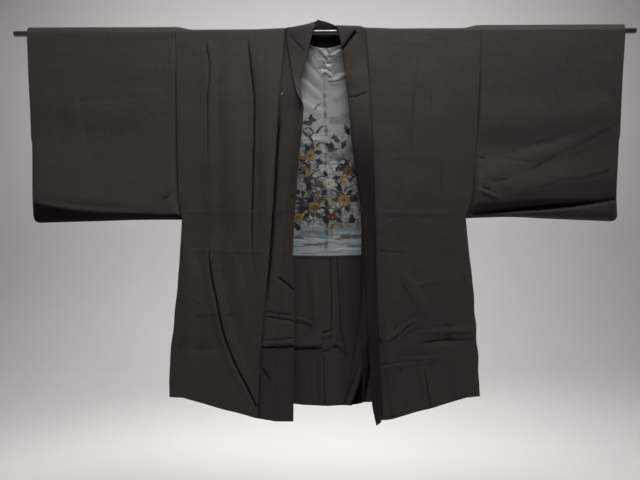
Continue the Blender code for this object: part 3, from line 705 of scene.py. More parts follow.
def thread(name, colour):
    """Twisted sewing thread or cord."""
    n = Nodes(name)
    fuzz = n.noise(1400, 2)
    dark = tuple(0.6 * c for c in colour[:3]) + (1,)
    return n.finish(Base_Color=n.mix(fuzz, dark, colour), Roughness=n.ramp(fuzz, 0.4, 0.65),
                    Specular_IOR_Level=0.2, Normal=n.bump(fuzz, 0.1 * MM))


def rod_paint():
    """Glossy black paint, a little uneven, dusty and finely scuffed along the rod."""
    n = Nodes("black_rod_paint")
    worn = n.ramp(n.noise(1.0, 4, (20, 900, 900), 0.7), 0, 1, 0.62, 0.78)
    rough = n.sum(n.ramp(n.noise(24, 4), 0.16, 0.3), n.math("MULTIPLY", worn, 0.2))
    return n.finish(
        Base_Color=n.mix(worn, (0.006, 0.006, 0.0065, 1), (0.03, 0.03, 0.031, 1)),
        Roughness=rough, Specular_IOR_Level=0.8, Coat_Weight=0.8, Coat_Roughness=0.3,
        Normal=n.bump(n.noise(130, 2), 0.05 * MM, 0.6))


def pale(name, colour):
    """Plain floor and backdrop, with a trace of mottling."""
    n = Nodes(name)
    darker = tuple(0.95 * c for c in colour[:3]) + (1,)
    return n.finish(Base_Color=n.mix(n.noise(3, 3), darker, colour), Roughness=0.8)


CLOTH_SILK = cloth_silk()
SATIN = lining_satin()


# ---- Making the shells ----
def directions(grid, outward, flat_first=(), flat_second=()):
    """Unit normals of a grid, towards outward; on the named rows or columns they lose y or x."""
    along = np.gradient(grid, axis=0)
    across = np.gradient(grid, axis=1)
    normal = np.cross(across, along)
    for j in flat_first:
        normal[j, :, 1] = 0
    for i in flat_second:
        normal[:, i, 0] = 0
    normal = normal / np.maximum(np.linalg.norm(normal, axis=2, keepdims=True), 1e-12)
    return normal * outward


SMOOTHED_STEP = 3.6 * MM            # spacing at which the smoothing takes its full passes


def hollows(grid, normal, spread=8):
    """How far each place lies below the cloth around it, in millimetres."""
    steps = [np.median(np.linalg.norm(np.diff(grid, axis=axis), axis=2)) for axis in (0, 1)]
    passes = [np.clip(round(spread * (SMOOTHED_STEP / step) ** 2), 1, spread) for step in steps]
    smooth = grid
    for turn in range(spread):
        for axis in (0, 1):
            if turn >= passes[axis]:
                continue
            wide = np.concatenate([smooth.take([0], axis), smooth, smooth.take([-1], axis)], axis)
            count = smooth.shape[axis]
            smooth = (wide.take(range(count), axis) + 2 * smooth
                      + wide.take(range(2, count + 2), axis)) / 4
    return np.sum((smooth - grid) * normal, axis=2) / MM


def shading(hollow):
    """Share of the colour: painted shade deep in hollows, and a little lighter on the ridges."""
    return np.clip(1 - 0.95 * np.maximum(hollow - 0.15, 0) ** 0.75
                   + 0.06 * np.minimum(np.maximum(-hollow, 0), 0.8), 0.2, 1.06)


def shell(grid, normal, thickness, rims="tblr", closed=None, tone=1.0, under_shade=None):
    """Both faces of a cloth around a grid, and its rims: t and b are the first and last rows,
    l and r the first and last columns.  closed marks rows whose last column has no rim."""
    rows, columns = grid.shape[:2]
    hollow = hollows(grid, normal)
    under_shade = tone if under_shade is None else under_shade
    # Painted shade: shade in the hollows, times the shade given for each face, and on the outer
    # face more shade where it faces upwards, as over the rod.
    outer_shade = shading(hollow) * tone * (1 - 0.46 * ease((normal[..., 2] - 0.3) / 0.5))
    shade = np.concatenate([outer_shade.ravel(), (shading(-hollow) * under_shade).ravel()])
    points = np.concatenate([(grid + normal * thickness / 2).reshape(-1, 3),
                             (grid - normal * thickness / 2).reshape(-1, 3)])
    number = np.arange(rows * columns).reshape(rows, columns)
    a, b = number[:-1, :-1].ravel(), number[:-1, 1:].ravel()
    c, d = number[1:, 1:].ravel(), number[1:, :-1].ravel()
    under = rows * columns
    facing = np.cross(np.gradient(grid, axis=1), np.gradient(grid, axis=0))
    forward = np.sum(facing * normal) > 0
    outer = np.stack([a, b, c, d] if forward else [a, d, c, b], -1)
    inner = outer[:, ::-1] + under
    faces = [outer, inner]
    edges = {"t": number[0], "b": number[-1][::-1], "l": number[:, 0][::-1], "r": number[:, -1]}
    for name in rims:
        line = edges[name]
        first, second = line[:-1], line[1:]
        if name == "r" and closed is not None:
            keep = ~(closed[:-1] & closed[1:])
            first, second = first[keep], second[keep]
        rim = np.stack([first, first + under, second + under, second], -1)
        faces.append(rim if forward else rim[:, ::-1])
    return points, np.concatenate(faces), shade


WELD = 0.02 * MM


def join(parts):
    """Several shells as one mesh, welded where they meet."""
    points, faces, shades, shift = [], [], [], 0
    for p, f, s in parts:
        points.append(p)
        faces.append(f + shift)
        shades.append(s)
        shift += len(p)
    points, faces, shades = (np.concatenate(all_of) for all_of in (points, faces, shades))
    keys = np.round(points / WELD).astype(np.int64)
    _, first, back = np.unique(keys, axis=0, return_index=True, return_inverse=True)
    faces = back.reshape(-1)[faces]
    ordered = np.sort(faces, axis=1)
    good = np.all(ordered[:, 1:] != ordered[:, :-1], axis=1)
    return points[first], faces[good], faces[~good], shades[first]


def put(name, data):
    """A new object in the scene."""
    made = bpy.data.objects.new(name, data)
    bpy.context.scene.collection.objects.link(made)
    return made


def make_mesh(name, points, faces, material, triangles=None):
    """A smooth-shaded mesh object from arrays of quads, and triangles left by welding."""
    loops = [faces.ravel()]
    sizes = [np.full(len(faces), 4)]
    if triangles is not None and len(triangles):
        loops.append(triangles.ravel())
        sizes.append(np.full(len(triangles), 3))
    loops, sizes = np.concatenate(loops), np.concatenate(sizes)
    data = bpy.data.meshes.new(name)
    data.vertices.add(len(points))
    data.vertices.foreach_set("co", points.astype(np.float32).ravel())
    data.loops.add(len(loops))
    data.loops.foreach_set("vertex_index", loops.astype(np.int32))
    data.polygons.add(len(sizes))
    starts = np.concatenate([[0], np.cumsum(sizes)[:-1]]).astype(np.int32)
    data.polygons.foreach_set("loop_start", starts)
    data.update(calc_edges=True)
    data.validate()
    data.shade_smooth()
    data.materials.append(material)
    made = put(name, data)
    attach(made, "root")
    return made


def repair(bad):
    """Triangles from the quads that welding left with one corner doubled."""
    kept = []
    for quad in bad:
        ring = [v for k, v in enumerate(quad) if v != quad[k - 1]]
        if len(ring) == 3 and len(set(ring)) == 3:
            kept.append(ring)
    return np.array(kept, int).reshape(-1, 3)


def give_shade(made, shades):
    """The shade attribute, which the materials multiply their colour by."""
    layer = made.data.attributes.new("shade", "FLOAT", "POINT")
    layer.data.foreach_set("value", shades.ravel().astype(np.float32))


def make_cloth(name, parts, material, nodes):
    """One mesh of several shells, in the place of the CAD's nodes."""
    points, faces, bad, shades = join(parts)
    made = make_mesh(name, points, faces, material, repair(bad))
    give_shade(made, shades)
    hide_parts(*nodes)
    return made


def grid_area(grid):
    """The sheet's measured area."""
    a, b, c, d = grid[:-1, :-1], grid[:-1, 1:], grid[1:, 1:], grid[1:, :-1]
    halves = [np.cross(b - a, d - a), np.cross(b - c, d - c)]
    return float(sum(np.linalg.norm(h, axis=2).sum() / 2 for h in halves))


# ---- Body panels ----
def seam_sink(hand, drop):
    """How deep the collar's seam lies under the panel's edge; the left one opens lower down."""
    if hand == RIGHT:
        return 1.4 * MM * rise(drop + ARC, 0, 20)
    open_part = rise(drop, 135, 60) * (1 - rise(drop, 520, 110))
    return (0.5 * rise(drop + ARC, 0, 20) + 1.1 * rise(drop, 560, 60)
            + 4.4 * open_part) * MM


def front_grid(hand):
    """Rows from the shoulder to the hem, columns from the side seam to the collar seam."""
    nominal = body_rows(FRONT_LENGTH, *FRONT_ROWS)[:, None]
    outer, inner = side_seam(hand, nominal), collar_seam(hand, nominal)
    share = body_shares(hand)[None, :]
    x = outer + (inner - outer) * share
    drop = hem_drop(nominal, FRONT_LENGTH, read(HEM, "front", np.abs(x)))
    grid = body(FRONT, x, drop, lines=FRONT_CREASES[hand])
    beside = np.abs(x - inner)
    grid[..., 1] += tuck(beside, 3.4 * MM, 1.0) * seam_sink(hand, drop)
    grid[:, -1, 0] -= hand * SEAM / 2
    return grid


def back_places(hand, distances, nominal):
    """x and drop of the back panel's rows; distances are those at the shoulder."""
    settle = 160 * MM
    shoulder, _ = shoulder_ends(hand)
    outer = np.abs(side_seam(hand, nominal))
    narrowing = ease(nominal / settle)
    widest = 276 * MM
    inner = distances * (1 - narrowing) + distances * outer / shoulder * narrowing
    at_widest = widest * (1 - narrowing) + widest * outer / shoulder * narrowing
    beyond = unit((distances - widest) / (shoulder - widest))
    x = hand * np.where(distances > widest, at_widest + (outer - at_widest) * beyond, inner)
    drop = hem_drop(nominal, BACK_LENGTH, read(HEM, "back", np.abs(x)))
    drop = drop + (neck_drop(x) + ARC) * np.maximum(0, 1 - (drop + ARC) / settle)
    return x, drop


def back_grid(hand):
    """Rows from the shoulder and neckline to the hem, side seam to centre seam."""
    shoulder, slit = shoulder_ends(hand)
    shared = shoulder + (slit - shoulder) * body_shares(hand)
    shared[-1] = slit
    rest = slit * (1 - spaced(0, 1, 1 / 19, (0.006,)))[1:]
    distances = np.concatenate([shared, rest])[None, :]
    nominal = body_rows(BACK_LENGTH, *BACK_ROWS)[:, None]
    x, drop = back_places(hand, distances, nominal)
    grid = body(BACK, x, drop, lines=BACK_CREASES)
    grid[..., 1] -= tuck(np.abs(x), 3 * MM, 0.45 * MM) * rise(drop - NECK_SAG, 0, 30)
    grid[:, -1, 0] = 0
    grid[0, len(shared) - 1, 0] -= hand * SEAM / 2
    return grid, len(shared)


def body_shares(hand):
    """Columns from the armhole to the neck slit, which both panels share on the shoulder."""
    shoulder, slit = shoulder_ends(hand)
    return spaced(0, shoulder - slit, BODY_COLUMNS) / (shoulder - slit)


def make_body(hand):
    """One panel as one sheet: front and back over the shoulder, and the neckline's rim."""
    front = front_grid(hand)
    back, shared = back_grid(hand)
    top = (front[0, :shared] + back[0, :shared]) / 2
    front[0], back[0, :shared] = top, top
    front_n = directions(front, -FRONT * hand, (0,), (0, -1))
    back_n = directions(back, -BACK * hand, (), (0, -1))
    back_n[0, :shared] = front_n[0]
    front_part = shell(front, front_n, CLOTH, "blr")
    back_part = shell(back, back_n, CLOTH, "blr")
    neck = shell(back[:2, shared - 1:], back_n[:2, shared - 1:], CLOTH, "t")
    neck = (neck[0], neck[1][-(back.shape[1] - shared):], neck[2])
    made = make_cloth("body_" + hand_name(hand), [front_part, back_part, neck], CLOTH_SILK,
                      ["front_" + hand_name(hand), "back_" + hand_name(hand)])
    area = grid_area(front) + grid_area(back)
    return front, back


# ---- Sleeves ----
def sleeve_places(hand):
    """x, drop, distance from the armhole and the hem's drop, from the shoulder line down."""
    name = hand_name(hand)
    nominal = np.concatenate([ARC_STEPS, spaced(0, ARMPIT - SLEEVE_LOWEST, SLEEVE_ROWS, ())[:-1],
                              ARMPIT - SLEEVE_LOWEST * closing(13)])[:, None]
    above = ARMPIT - nominal
    lost = SLEEVE_CORNER - np.sqrt(np.maximum(
        0, SLEEVE_CORNER ** 2 - np.maximum(SLEEVE_CORNER - above, 0) ** 2))
    inner = side_seam(hand, nominal)
    outer = hand * (read(SLEEVE_EDGE, name, nominal) - lost)
    even = spaced(0, 1 - SLEEVE_OUTMOST, SLEEVE_COLUMNS / SLEEVE_WIDTH, ())[:-1]
    share = np.unique(np.concatenate([even, 1 - SLEEVE_OUTMOST * closing(12),
                                      [b / SLEEVE_WIDTH for b in BORDERS]]))[None]
    x = inner + (outer - inner) * share
    hem = read(SLEEVE_HEM, name, np.abs(x - inner))
    drop = np.where(nominal < 0, nominal, nominal * hem / ARMPIT)
    return x, drop, np.abs(x - inner), hem


def sleeve_grid(hand, face):
    """Rows from the shoulder line to the lower edge, from the armhole to the cuff; the rows
    that are closed at the cuff; and the painted shade of the front."""
    x, drop, out, hem = sleeve_places(hand)
    low = ease(drop / hem)
    depth = SLEEVE_DEPTH_TOP * (1 - low) + SLEEVE_DEPTH_LOW * low
    if face == FRONT:
        lines, folds = SLEEVE_CREASES[hand], relief(SLEEVE_FOLDS, x, drop)
    else:
        lines, folds = SLEEVE_BACKS, relief(SLEEVE_BACK_FOLDS, -x, drop)
    depth = depth + folds + sleeve_swell(hand, face, out, drop, hem)
    depth = depth + crease_height(lines, x, drop) * rise(drop, 0, 10)
    uneven = 0.25 * MM * unevenness(x, drop, 190 * MM, 90 * MM, 21 + hand * 2 + face)
    uneven += 0.07 * MM * unevenness(x, drop, 40 * MM, 16 * MM, 31 + hand * 2 + face)
    if face == BACK:
        uneven = 0.5 * uneven
    seam = tuck(out, *armhole(hand, face, drop))
    depth = depth + (uneven - seam) * rise(drop, 0, 25)
    least = 1.6 * MM
    if face == BACK:
        above = depth - least
        depth = least + (above + np.sqrt(above * above + MM * MM)) / 2
    depth = np.maximum(depth, least) * sleeve_parting(hand, x, drop, hem)
    settle = SEAM / 2 * rise(depth, 0, 2)
    hung = places(x, face * (depth + settle), -drop)
    top = hang(face, x, drop, CLOTH_LIFT, 1.0, SLEEVE_DEPTH_TOP - ROD_RADIUS - CLOTH_LIFT)
    grid = np.where((drop < 0)[..., None], top, hung)
    closed = np.abs(grid[:, -1, 1]) < 0.05 * MM
    grid[closed, -1, 1] = 0
    grid[-1, :, 1] = 0
    # The front's painted shade: on its turned-under part and along the armhole seam.
    tone = sleeve_painted_shade(hand, out, drop, hem) if face == FRONT else 1.0
    return grid, closed, tone


def armhole(hand, face, drop):
    """Reach and depth of the armhole seam; in front its middle is drawn in more."""
    ends = (60, 330) if hand == LEFT else (70, 190)
    drawn = ease((drop / MM - ends[0]) / 60) * (1 - ease((drop / MM - ends[1]) / 60))
    drawn = drawn * (face == FRONT)
    return (3 + 2.4 * drawn) * MM, (1.9 + 1.3 * drawn) * MM


def sleeve_parting(hand, x, drop, hem):
    """0 on the sleeve's closed lower and outer edges, rising to 1 where its walls part."""
    from_edge = np.abs(read(SLEEVE_EDGE, hand_name(hand), drop)) - np.abs(x)
    from_hem = hem - drop
    closed = ease((drop - CUFF_OPENING) / CUFF_CLOSE)
    cornered = (from_edge < SLEEVE_CORNER) & (from_hem < SLEEVE_CORNER)
    corner = SLEEVE_CORNER - np.hypot(SLEEVE_CORNER - from_edge, SLEEVE_CORNER - from_hem)
    from_edge = np.where(cornered, corner, from_edge)
    from_hem = np.where(cornered, corner, from_hem)

    def parted(distance):
        near = 1 - unit(distance / SLEEVE_ROLL)
        return np.sqrt(np.maximum(0, 1 - near * near))

    outer = 1 - closed + closed * parted(from_edge)
    return np.minimum(parted(from_hem), outer)


def sleeve_border(hand, out, hem):
    """The drop where the front's lower part starts to turn under."""
    share = out / SLEEVE_WIDTH
    if hand == LEFT:
        return hem - (13 + 5 * share + 33 * share ** 3) * MM
    return hem - (6 + 46 * share ** 1.75) * MM


def sleeve_swell(hand, face, out, drop, hem):
    """How far the lower part of a sleeve's front stands off, over its turned-under edge."""
    if face == BACK:
        return 1.5 * MM * rise(drop, 0, 300) * rise(hem - drop, 0, 60)
    hollow = trough_width(out)
    ends = rise(out, 0, 10) * rise(SLEEVE_WIDTH - out, 0, 26)
    border = sleeve_border(hand, out, hem)
    if hand == LEFT:
        above = rise(drop - border, -200, 230) / 0.952
        below = unit((hem - drop) / np.maximum(hem - border, 1 * MM))
        return (9 + 9 * (out / SLEEVE_WIDTH)) * MM * np.where(drop < border, above, below) * ends
    gap = drop - border
    above = (2.5 + 10 * (1 - rise(out, 170, 150))) * MM
    above = above * rise(gap, -160, 130) * (1 - ease((gap + hollow) / hollow))
    below = 8.5 * MM * ease(gap / (9 * MM) + 0.25) * unit((hem - drop) / (20 * MM)) ** 0.6
    return (above + below) * ends


def trough_width(out):
    """Width of the dark hollow above the right sleeve's turned-under edge; it tapers outwards."""
    return (27 - 22 * rise(out, 150, 150)) * MM


def sleeve_painted_shade(hand, out, drop, hem):
    """Painted shade on a sleeve's front: on its turned-under part, on the right also in the hollow
    above it, and along the armhole seam where it is drawn in.
    """
    gap = (drop - sleeve_border(hand, out, hem)) / MM
    drawn = (armhole(hand, FRONT, drop)[0] / MM - 3) / 2.4
    seam = 1 - 0.6 * (1 - rise(out, 1, 5)) * drawn
    if hand == LEFT:
        return (1 - 0.72 * ease((gap + 0.5) / 4)) * seam
    shaded = 0.3 * ease((gap + 80) / 66)
    trough = ease((gap + trough_width(out) / MM) / 7) * (1 - ease((gap + 3) / 6))
    trough = trough * rise(out, 4, 16)
    dark = 0.4 - 0.15 * rise(out, 220, 100)
    return (1 - np.maximum(shaded * (1 - ease((gap + 3) / 6)), dark * trough)) * seam


def make_sleeve(hand):
    """One sleeve as one sheet: its front and back walls, joined along the closed edges."""
    name = hand_name(hand)
    parts, area, grids = [], 0, []
    for face in (FRONT, BACK):
        grid, closed, tone = sleeve_grid(hand, face)
        normal = directions(grid, face * hand, (0, -1), (0,))
        last = normal[:, -1].copy()
        last[closed, 1] = 0
        last[~closed, 0] = 0
        last[np.linalg.norm(last, axis=1) < 0.01] = (hand, 0, 0)
        normal[:, -1] = last / np.linalg.norm(last, axis=1, keepdims=True)
        parts.append(shell(grid, normal, CLOTH, "lr", closed, tone))
        area += grid_area(grid)
        grids.append(grid)
    made = make_cloth("sleeve_" + name, parts, CLOTH_SILK,
                      ["sleeve_" + name + "_front", "sleeve_" + name + "_back"])
    return grids


# ---- Gussets, lining and turned-up hem ----
def make_gusset(hand):
    """The wedge below the armpit: between the panels' side edges, folded outwards."""
    share = spaced(0, 1, 1 / 110, (0.0012, 0.003))[:, None]
    edges = []
    for face, name, length in ((FRONT, "front", FRONT_LENGTH), (BACK, "back", BACK_LENGTH)):
        nominal = ARMPIT + (length - ARMPIT) * share
        x = side_seam(hand, nominal)
        drop = hem_drop(nominal, length, read(HEM, name, np.abs(x)))
        lines = FRONT_CREASES[hand] if face == FRONT else BACK_CREASES
        point = body(face, x, drop, lines=lines)[:, 0]
        point[:, 0] -= hand * SEAM
        edges.append(point)
    middle = (edges[0] + edges[1]) / 2
    fold = places(hand * read(GUSSET_FOLD, hand_name(hand), -middle[:, 2]), 0, middle[:, 2])
    lower = CLOTH * (1 - unit(share[:, 0] / 0.05))
    for line in (*edges, fold):
        line[:, 2] -= lower
    t = spaced(0, 1, 1 / 14, (0.03,))
    grid = np.stack([first * (1 - s) + last * s
                     for first, last, steps in ((edges[0], fold, t), (fold, edges[1], t[1:]))
                     for s in steps], 1)
    count = len(t) - 1
    bend = np.abs(np.arange(grid.shape[1]) - count) / count
    round_off = hand * 1.6 * MM * np.exp(-(bend * 5) ** 2)
    grid[..., 0] -= round_off * unit(share * 8)
    drop = -grid[..., 2]
    wave = 1.3 * MM * unevenness(grid[..., 1] * 3, drop, 120 * MM, 50 * MM, 50 + hand)
    grid[..., 0] += wave * unit(share * 3) * (1 - bend) ** 0.5
    normal = directions(grid, 1)
    made = make_cloth("side_gusset_" + hand_name(hand), [shell(grid, normal, CLOTH)], CLOTH_SILK,
                      ["gusset_" + hand_name(hand)])
    area = grid_area(grid)


# The CAD's rows of the lining down the back: their drops, and how many rows lie above each.
LINING_ROW_DROPS = [-ARC / MM, 0, 20, 50, 90, 140, 190, 232, 258, 300, 345, 385, 427.5, 860]
LINING_ROW_COUNTS = [0, *range(4, 16), 26]


def inner_half(hand, nominal, distances, lines):
    """One half of a layer one seam inside the back panel."""
    x, drop = back_places(hand, distances[None, :], nominal[:, None])
    rows = np.interp(nominal / MM, LINING_ROW_DROPS, LINING_ROW_COUNTS)
    drop = np.maximum(drop + SEAM, LINING_TOP + rows[:, None] * LINING_FIRST_ROWS)
    grid = body(BACK, x, drop, LINING_LIFT, seams=False, rough=0.0)
    forward = crease_height(lines, x, drop)
    stand = rise(drop, 30, 30) * 0.9
    grid[..., 1] -= stand * MM + np.maximum(forward, -stand * MM)
    grid[:, -1, 0] = 0
    return grid, x, drop


def inner_grid(nominal, distances, lines):
    """The layer across both halves of the back, with x and drop of its places."""
    left, right = (inner_half(hand, nominal, distances, lines) for hand in (LEFT, RIGHT))
    return [np.concatenate([a[:, :-1], b[:, ::-1]], 1) for a, b in zip(left, right)]


def inner_cut(step):
    """Distances of the inner layers' columns from the centre, as wide as the opening shows."""
    return (NECK_HALF * spaced(0, 1, step / NECK_HALF, (0.006, 0.014)))[::-1]


def turn_painted_shade(x, drop):
    """Painted shade on the turned-up hem: right of its curved fold, in the right front's shadow;
    under the lining's end; below its low fold on the left; and towards the right.
    """
    fold = np.interp(drop / MM, [499, 585, 684, 760, 810, 860], [88, 93, 94, 86, 70, 50]) * MM
    behind = rise(x - fold, -1, 5) * rise(drop, 520, 100)
    below = rise(drop, 722, 8) * fall(x, 20, 40)
    beyond = rise(x, 24, 14)
    edge = 0.6 * fall(drop, 510, 5)
    return (1 - 0.9 * behind) * (1 - 0.16 * below) * (1 - 0.15 * beyond) * (1 - edge)


# ---- Collar ----
def rounded(corners, steps):
    """Points along smooth curves drawn towards the corners; they start and end on them."""
    pieces = len(corners) - 2
    lines = [corners[0]]
    for piece in range(pieces):
        first, control, last = corners[piece:piece + 3]
        start = first if piece == 0 else (first + control) / 2
        end = last if piece == pieces - 1 else (control + last) / 2
        for step in range(1, steps[piece] + 1):
            t = step / steps[piece]
            lines.append(bezier(start, control, end, t))
    return np.stack(lines, 1)


# Columns across the collar: up the inner leaf, to the roll, over it, and down the outer leaf.
COLLAR_COLUMNS = (9, 11, 10, 18)
ROLL_COLUMN = 22


def collar_section(seam, rows, at):
    """Across the collar: from its seam over the inner leaf and the roll to the free edge."""
    roll = np.stack([read(rows, "roll_" + axis, at) for axis in "xyz"], -1)
    edge = np.stack([read(rows, "edge_" + axis, at) for axis in "xyz"], -1)
    outwards = np.stack([0 * at, seam[:, 1], np.maximum(0, seam[:, 2])], -1)
    outwards /= np.linalg.norm(outwards, axis=1, keepdims=True)
    half_open = outwards * read(rows, "open", at)[:, None] / 2
    inner_roll, outer_roll = roll - half_open, roll + half_open
    corners = [seam, seam * 0.45 + inner_roll * 0.55, inner_roll,
               outer_roll, outer_roll * 0.5 + edge * 0.5, edge]
    return rounded(corners, COLLAR_COLUMNS)


def collar_front(hand):
    """Rows from the shoulder line to the hem."""
    rows = COLLAR_LEFT if hand == LEFT else COLLAR_RIGHT
    nominal = body_rows(FRONT_LENGTH, *COLLAR_ROWS)
    x = collar_seam(hand, nominal)
    drop = hem_drop(nominal, FRONT_LENGTH, read(HEM, "front", np.abs(x)))
    seam = body(FRONT, x, drop, lines=FRONT_CREASES[hand])
    seam[:, 0] += hand * SEAM / 2
    sink = seam_sink(hand, drop)
    seam[:, 1] += sink
    grid = collar_section(seam, rows, drop)
    if hand == LEFT:
        beside = np.abs(grid[..., 0] - seam[:, None, 0])
        reach = (7 + 9 * rise(drop, 150, 150))[:, None] * MM
        pulled = 0.6 * (sink[:, None] - 0.5 * MM)
        grid[..., 1] += pulled * unit(beside / (2 * MM)) * (1 - ease(beside / reach))
    grid[0, :, 1] = 0
    return grid


def collar_grid():
    """The whole band, from the left hem up, behind the neck and down to the right hem."""
    x = NECK_HALF * spaced(-1, 1, NECK_COLUMNS / NECK_HALF, ())[1:-1]
    seam = np.concatenate([
        body(BACK, part, np.maximum(neck_drop(part) - NECK_SEAM, -ARC), rough=0.0, seams=False)
        for part in (x[x < 0], x[x >= 0])])
    neck = collar_section(seam, COLLAR_NECK, x)
    left, right = collar_front(LEFT)[::-1], collar_front(RIGHT)
    grid = np.concatenate([left, neck, right])
    grid[..., 2] += neck_rise(grid[..., 0]) * rise(grid[..., 2], -22, 30)
    across = np.linspace(0, 1, grid.shape[1])[None, :]
    drop = -grid[..., 2]
    forward = crease_height(COLLAR, grid[..., 0], drop)
    front = fall(grid[..., 1], 6, 6)
    grid[..., 1] -= forward * front * ease((across - 0.01) / 0.05)
    wave = 0.35 * MM * unevenness(grid[..., 0] * 0.6, drop, 110 * MM, 40 * MM, 71)
    grid[..., 1] -= wave * front * ease((across - 0.1) / 0.3) * rise(drop, 0, 40)
    return grid


def neck_rise(x):
    """How far the collar stands up from the rod beside the neck."""
    return np.interp(x / MM, [-90, -73, -49, -32, -20, 0, 24, 40, 76, 90],
                     [0.2, 1.6, 5.5, 9, 3, 3.4, 3.6, 2.6, 2.2, 0.2]) * MM


def collar_painted_shade(grid, facing):
    """Painted shade on the collar: on the right leaf, which lies turned away from the light; along
    the top; below the left's low fold; and deep inside the neck.
    """
    x, y, drop = grid[..., 0], grid[..., 1], -grid[..., 2]
    leaf = rise(x, 20, 10) * rise(drop, 165, 160)
    upper = fall(drop, 130, 120) * rise(drop, -30, 20)
    below = rise(drop, 713, 8) * rise(-x, 0, 20)
    inside = fall(np.abs(x), 70, 14) * rise(y, 2, 4)
    inside = inside * fall(drop, 50, 8) * ease((0.25 - facing[..., 1]) / 0.4)
    return (1 - 0.54 * leaf) * (1 - 0.27 * upper) * (1 - 0.16 * below) * (1 - 0.7 * inside)


def make_collar():
    """The collar as one band from hem to hem."""
    grid = collar_grid()
    normal = directions(grid, 1)
    # Painted shade on each face of the band.
    band = shell(grid, normal, COLLAR_CLOTH, tone=collar_painted_shade(grid, normal),
                 under_shade=collar_painted_shade(grid, -normal))
    made = make_cloth("collar_band", [band], CLOTH_SILK,
                      ["collar_left", "collar_neck", "collar_right"])
    length = float(np.linalg.norm(np.diff(grid[:, ROLL_COLUMN], axis=0), axis=1).sum())
    width = grid_area(grid) / length
    return grid


# ---- The lining's painting ----
CHARCOAL, INK = (0.012, 0.0125, 0.014), (0.04, 0.042, 0.045)
OCHRE, GOLD, RUST = (0.21, 0.125, 0.05), (0.36, 0.25, 0.12), (0.12, 0.052, 0.03)
IVORY, WATER = (0.6, 0.58, 0.53), (0.24, 0.285, 0.3)
# Chrysanthemums: x, drop, radius, petals, petal colour, heart colour.
FLOWERS = [(40, 238, 13, 14, IVORY, GOLD), (-36, 282, 14, 15, GOLD, RUST),
           (52, 318, 12, 13, OCHRE, CHARCOAL), (8, 346, 15, 16, IVORY, GOLD),
           (-56, 352, 12, 13, IVORY, OCHRE), (-26, 398, 14, 15, OCHRE, CHARCOAL),
           (42, 384, 15, 16, GOLD, RUST), (74, 418, 12, 13, IVORY, OCHRE),
           (16, 424, 11, 12, RUST, GOLD), (-64, 424, 13, 14, GOLD, RUST),
           (-38, 206, 8, 10, OCHRE, RUST), (12, 268, 7, 9, RUST, OCHRE)]
# Bands of mist: x, drop, half length, half height, colour, strength.
MIST = [(46, 196, 40, 4.6, INK, .5), (-30, 240, 52, 5, IVORY, .3), (50, 276, 42, 5.4, INK, .6),
        (-52, 316, 38, 5.4, INK, .6), (20, 306, 46, 4.6, IVORY, .35),
        (-10, 374, 40, 5, INK, .5), (62, 352, 30, 4.6, GOLD, .35), (6, 452, 74, 5.6, INK, .55)]
# Banks in the water: x, drop, half length, half height, colour.
BANKS = [(58, 468, 30, 5.5, CHARCOAL), (40, 474, 22, 3.6, RUST), (-26, 486, 32, 2.6, INK),
         (-66, 470, 16, 4, CHARCOAL), (66, 490, 20, 2.2, INK), (-8, 470, 12, 2, INK)]


def grasses():
    """Stems and blades of autumn grass as (line, width, colour, strength), from seeded dice."""
    dice = np.random.default_rng(23)
    strokes = []
    for k in range(34):
        foot = np.array([dice.uniform(-76, 84), dice.uniform(400, 470)])
        high = dice.uniform(60, 150) if k % 3 else dice.uniform(160, 300)
        lean = dice.uniform(-26, 26)
        tip = foot + (lean, -high)
        middle = foot + (lean * dice.uniform(-0.1, 0.35), -high * dice.uniform(0.5, 0.7))
        paint = (CHARCOAL, CHARCOAL, OCHRE, CHARCOAL, INK)[k % 5]
        strokes.append(((foot, middle, tip), dice.uniform(1.0, 1.6), paint, 0.95))
        for _ in range(dice.integers(3, 7)):
            share = dice.uniform(0.1, 0.85)
            root = bezier(foot, middle, tip, share)
            way = 1 if dice.random() < 0.5 else -1
            long = dice.uniform(14, 30)
            ends = root + (way * long * 0.8, -long * dice.uniform(0.2, 0.8))
            bend = root + (way * long * 0.25, -long * 0.6)
            strokes.append(((root, bend, ends), dice.uniform(1.6, 3.0),
                            (CHARCOAL, INK, OCHRE, CHARCOAL, INK)[dice.integers(5)], 0.95))
    return strokes


def leaves():
    """Lobed leaves around each flower as (x, drop, length, width, turn, colour)."""
    dice = np.random.default_rng(5)
    made = []
    for cx, cd, radius, *_ in FLOWERS:
        for _ in range(6 if radius > 10 else 3):
            turn = dice.uniform(0, 2 * np.pi)
            far = radius * dice.uniform(1.15, 1.75)
            made.append((cx + far * math.cos(turn), cd + far * math.sin(turn),
                         dice.uniform(8, 12), dice.uniform(4.6, 7), turn + dice.uniform(-0.7, 0.7),
                         (CHARCOAL, INK, CHARCOAL, OCHRE, CHARCOAL)[dice.integers(5)]))
    return made


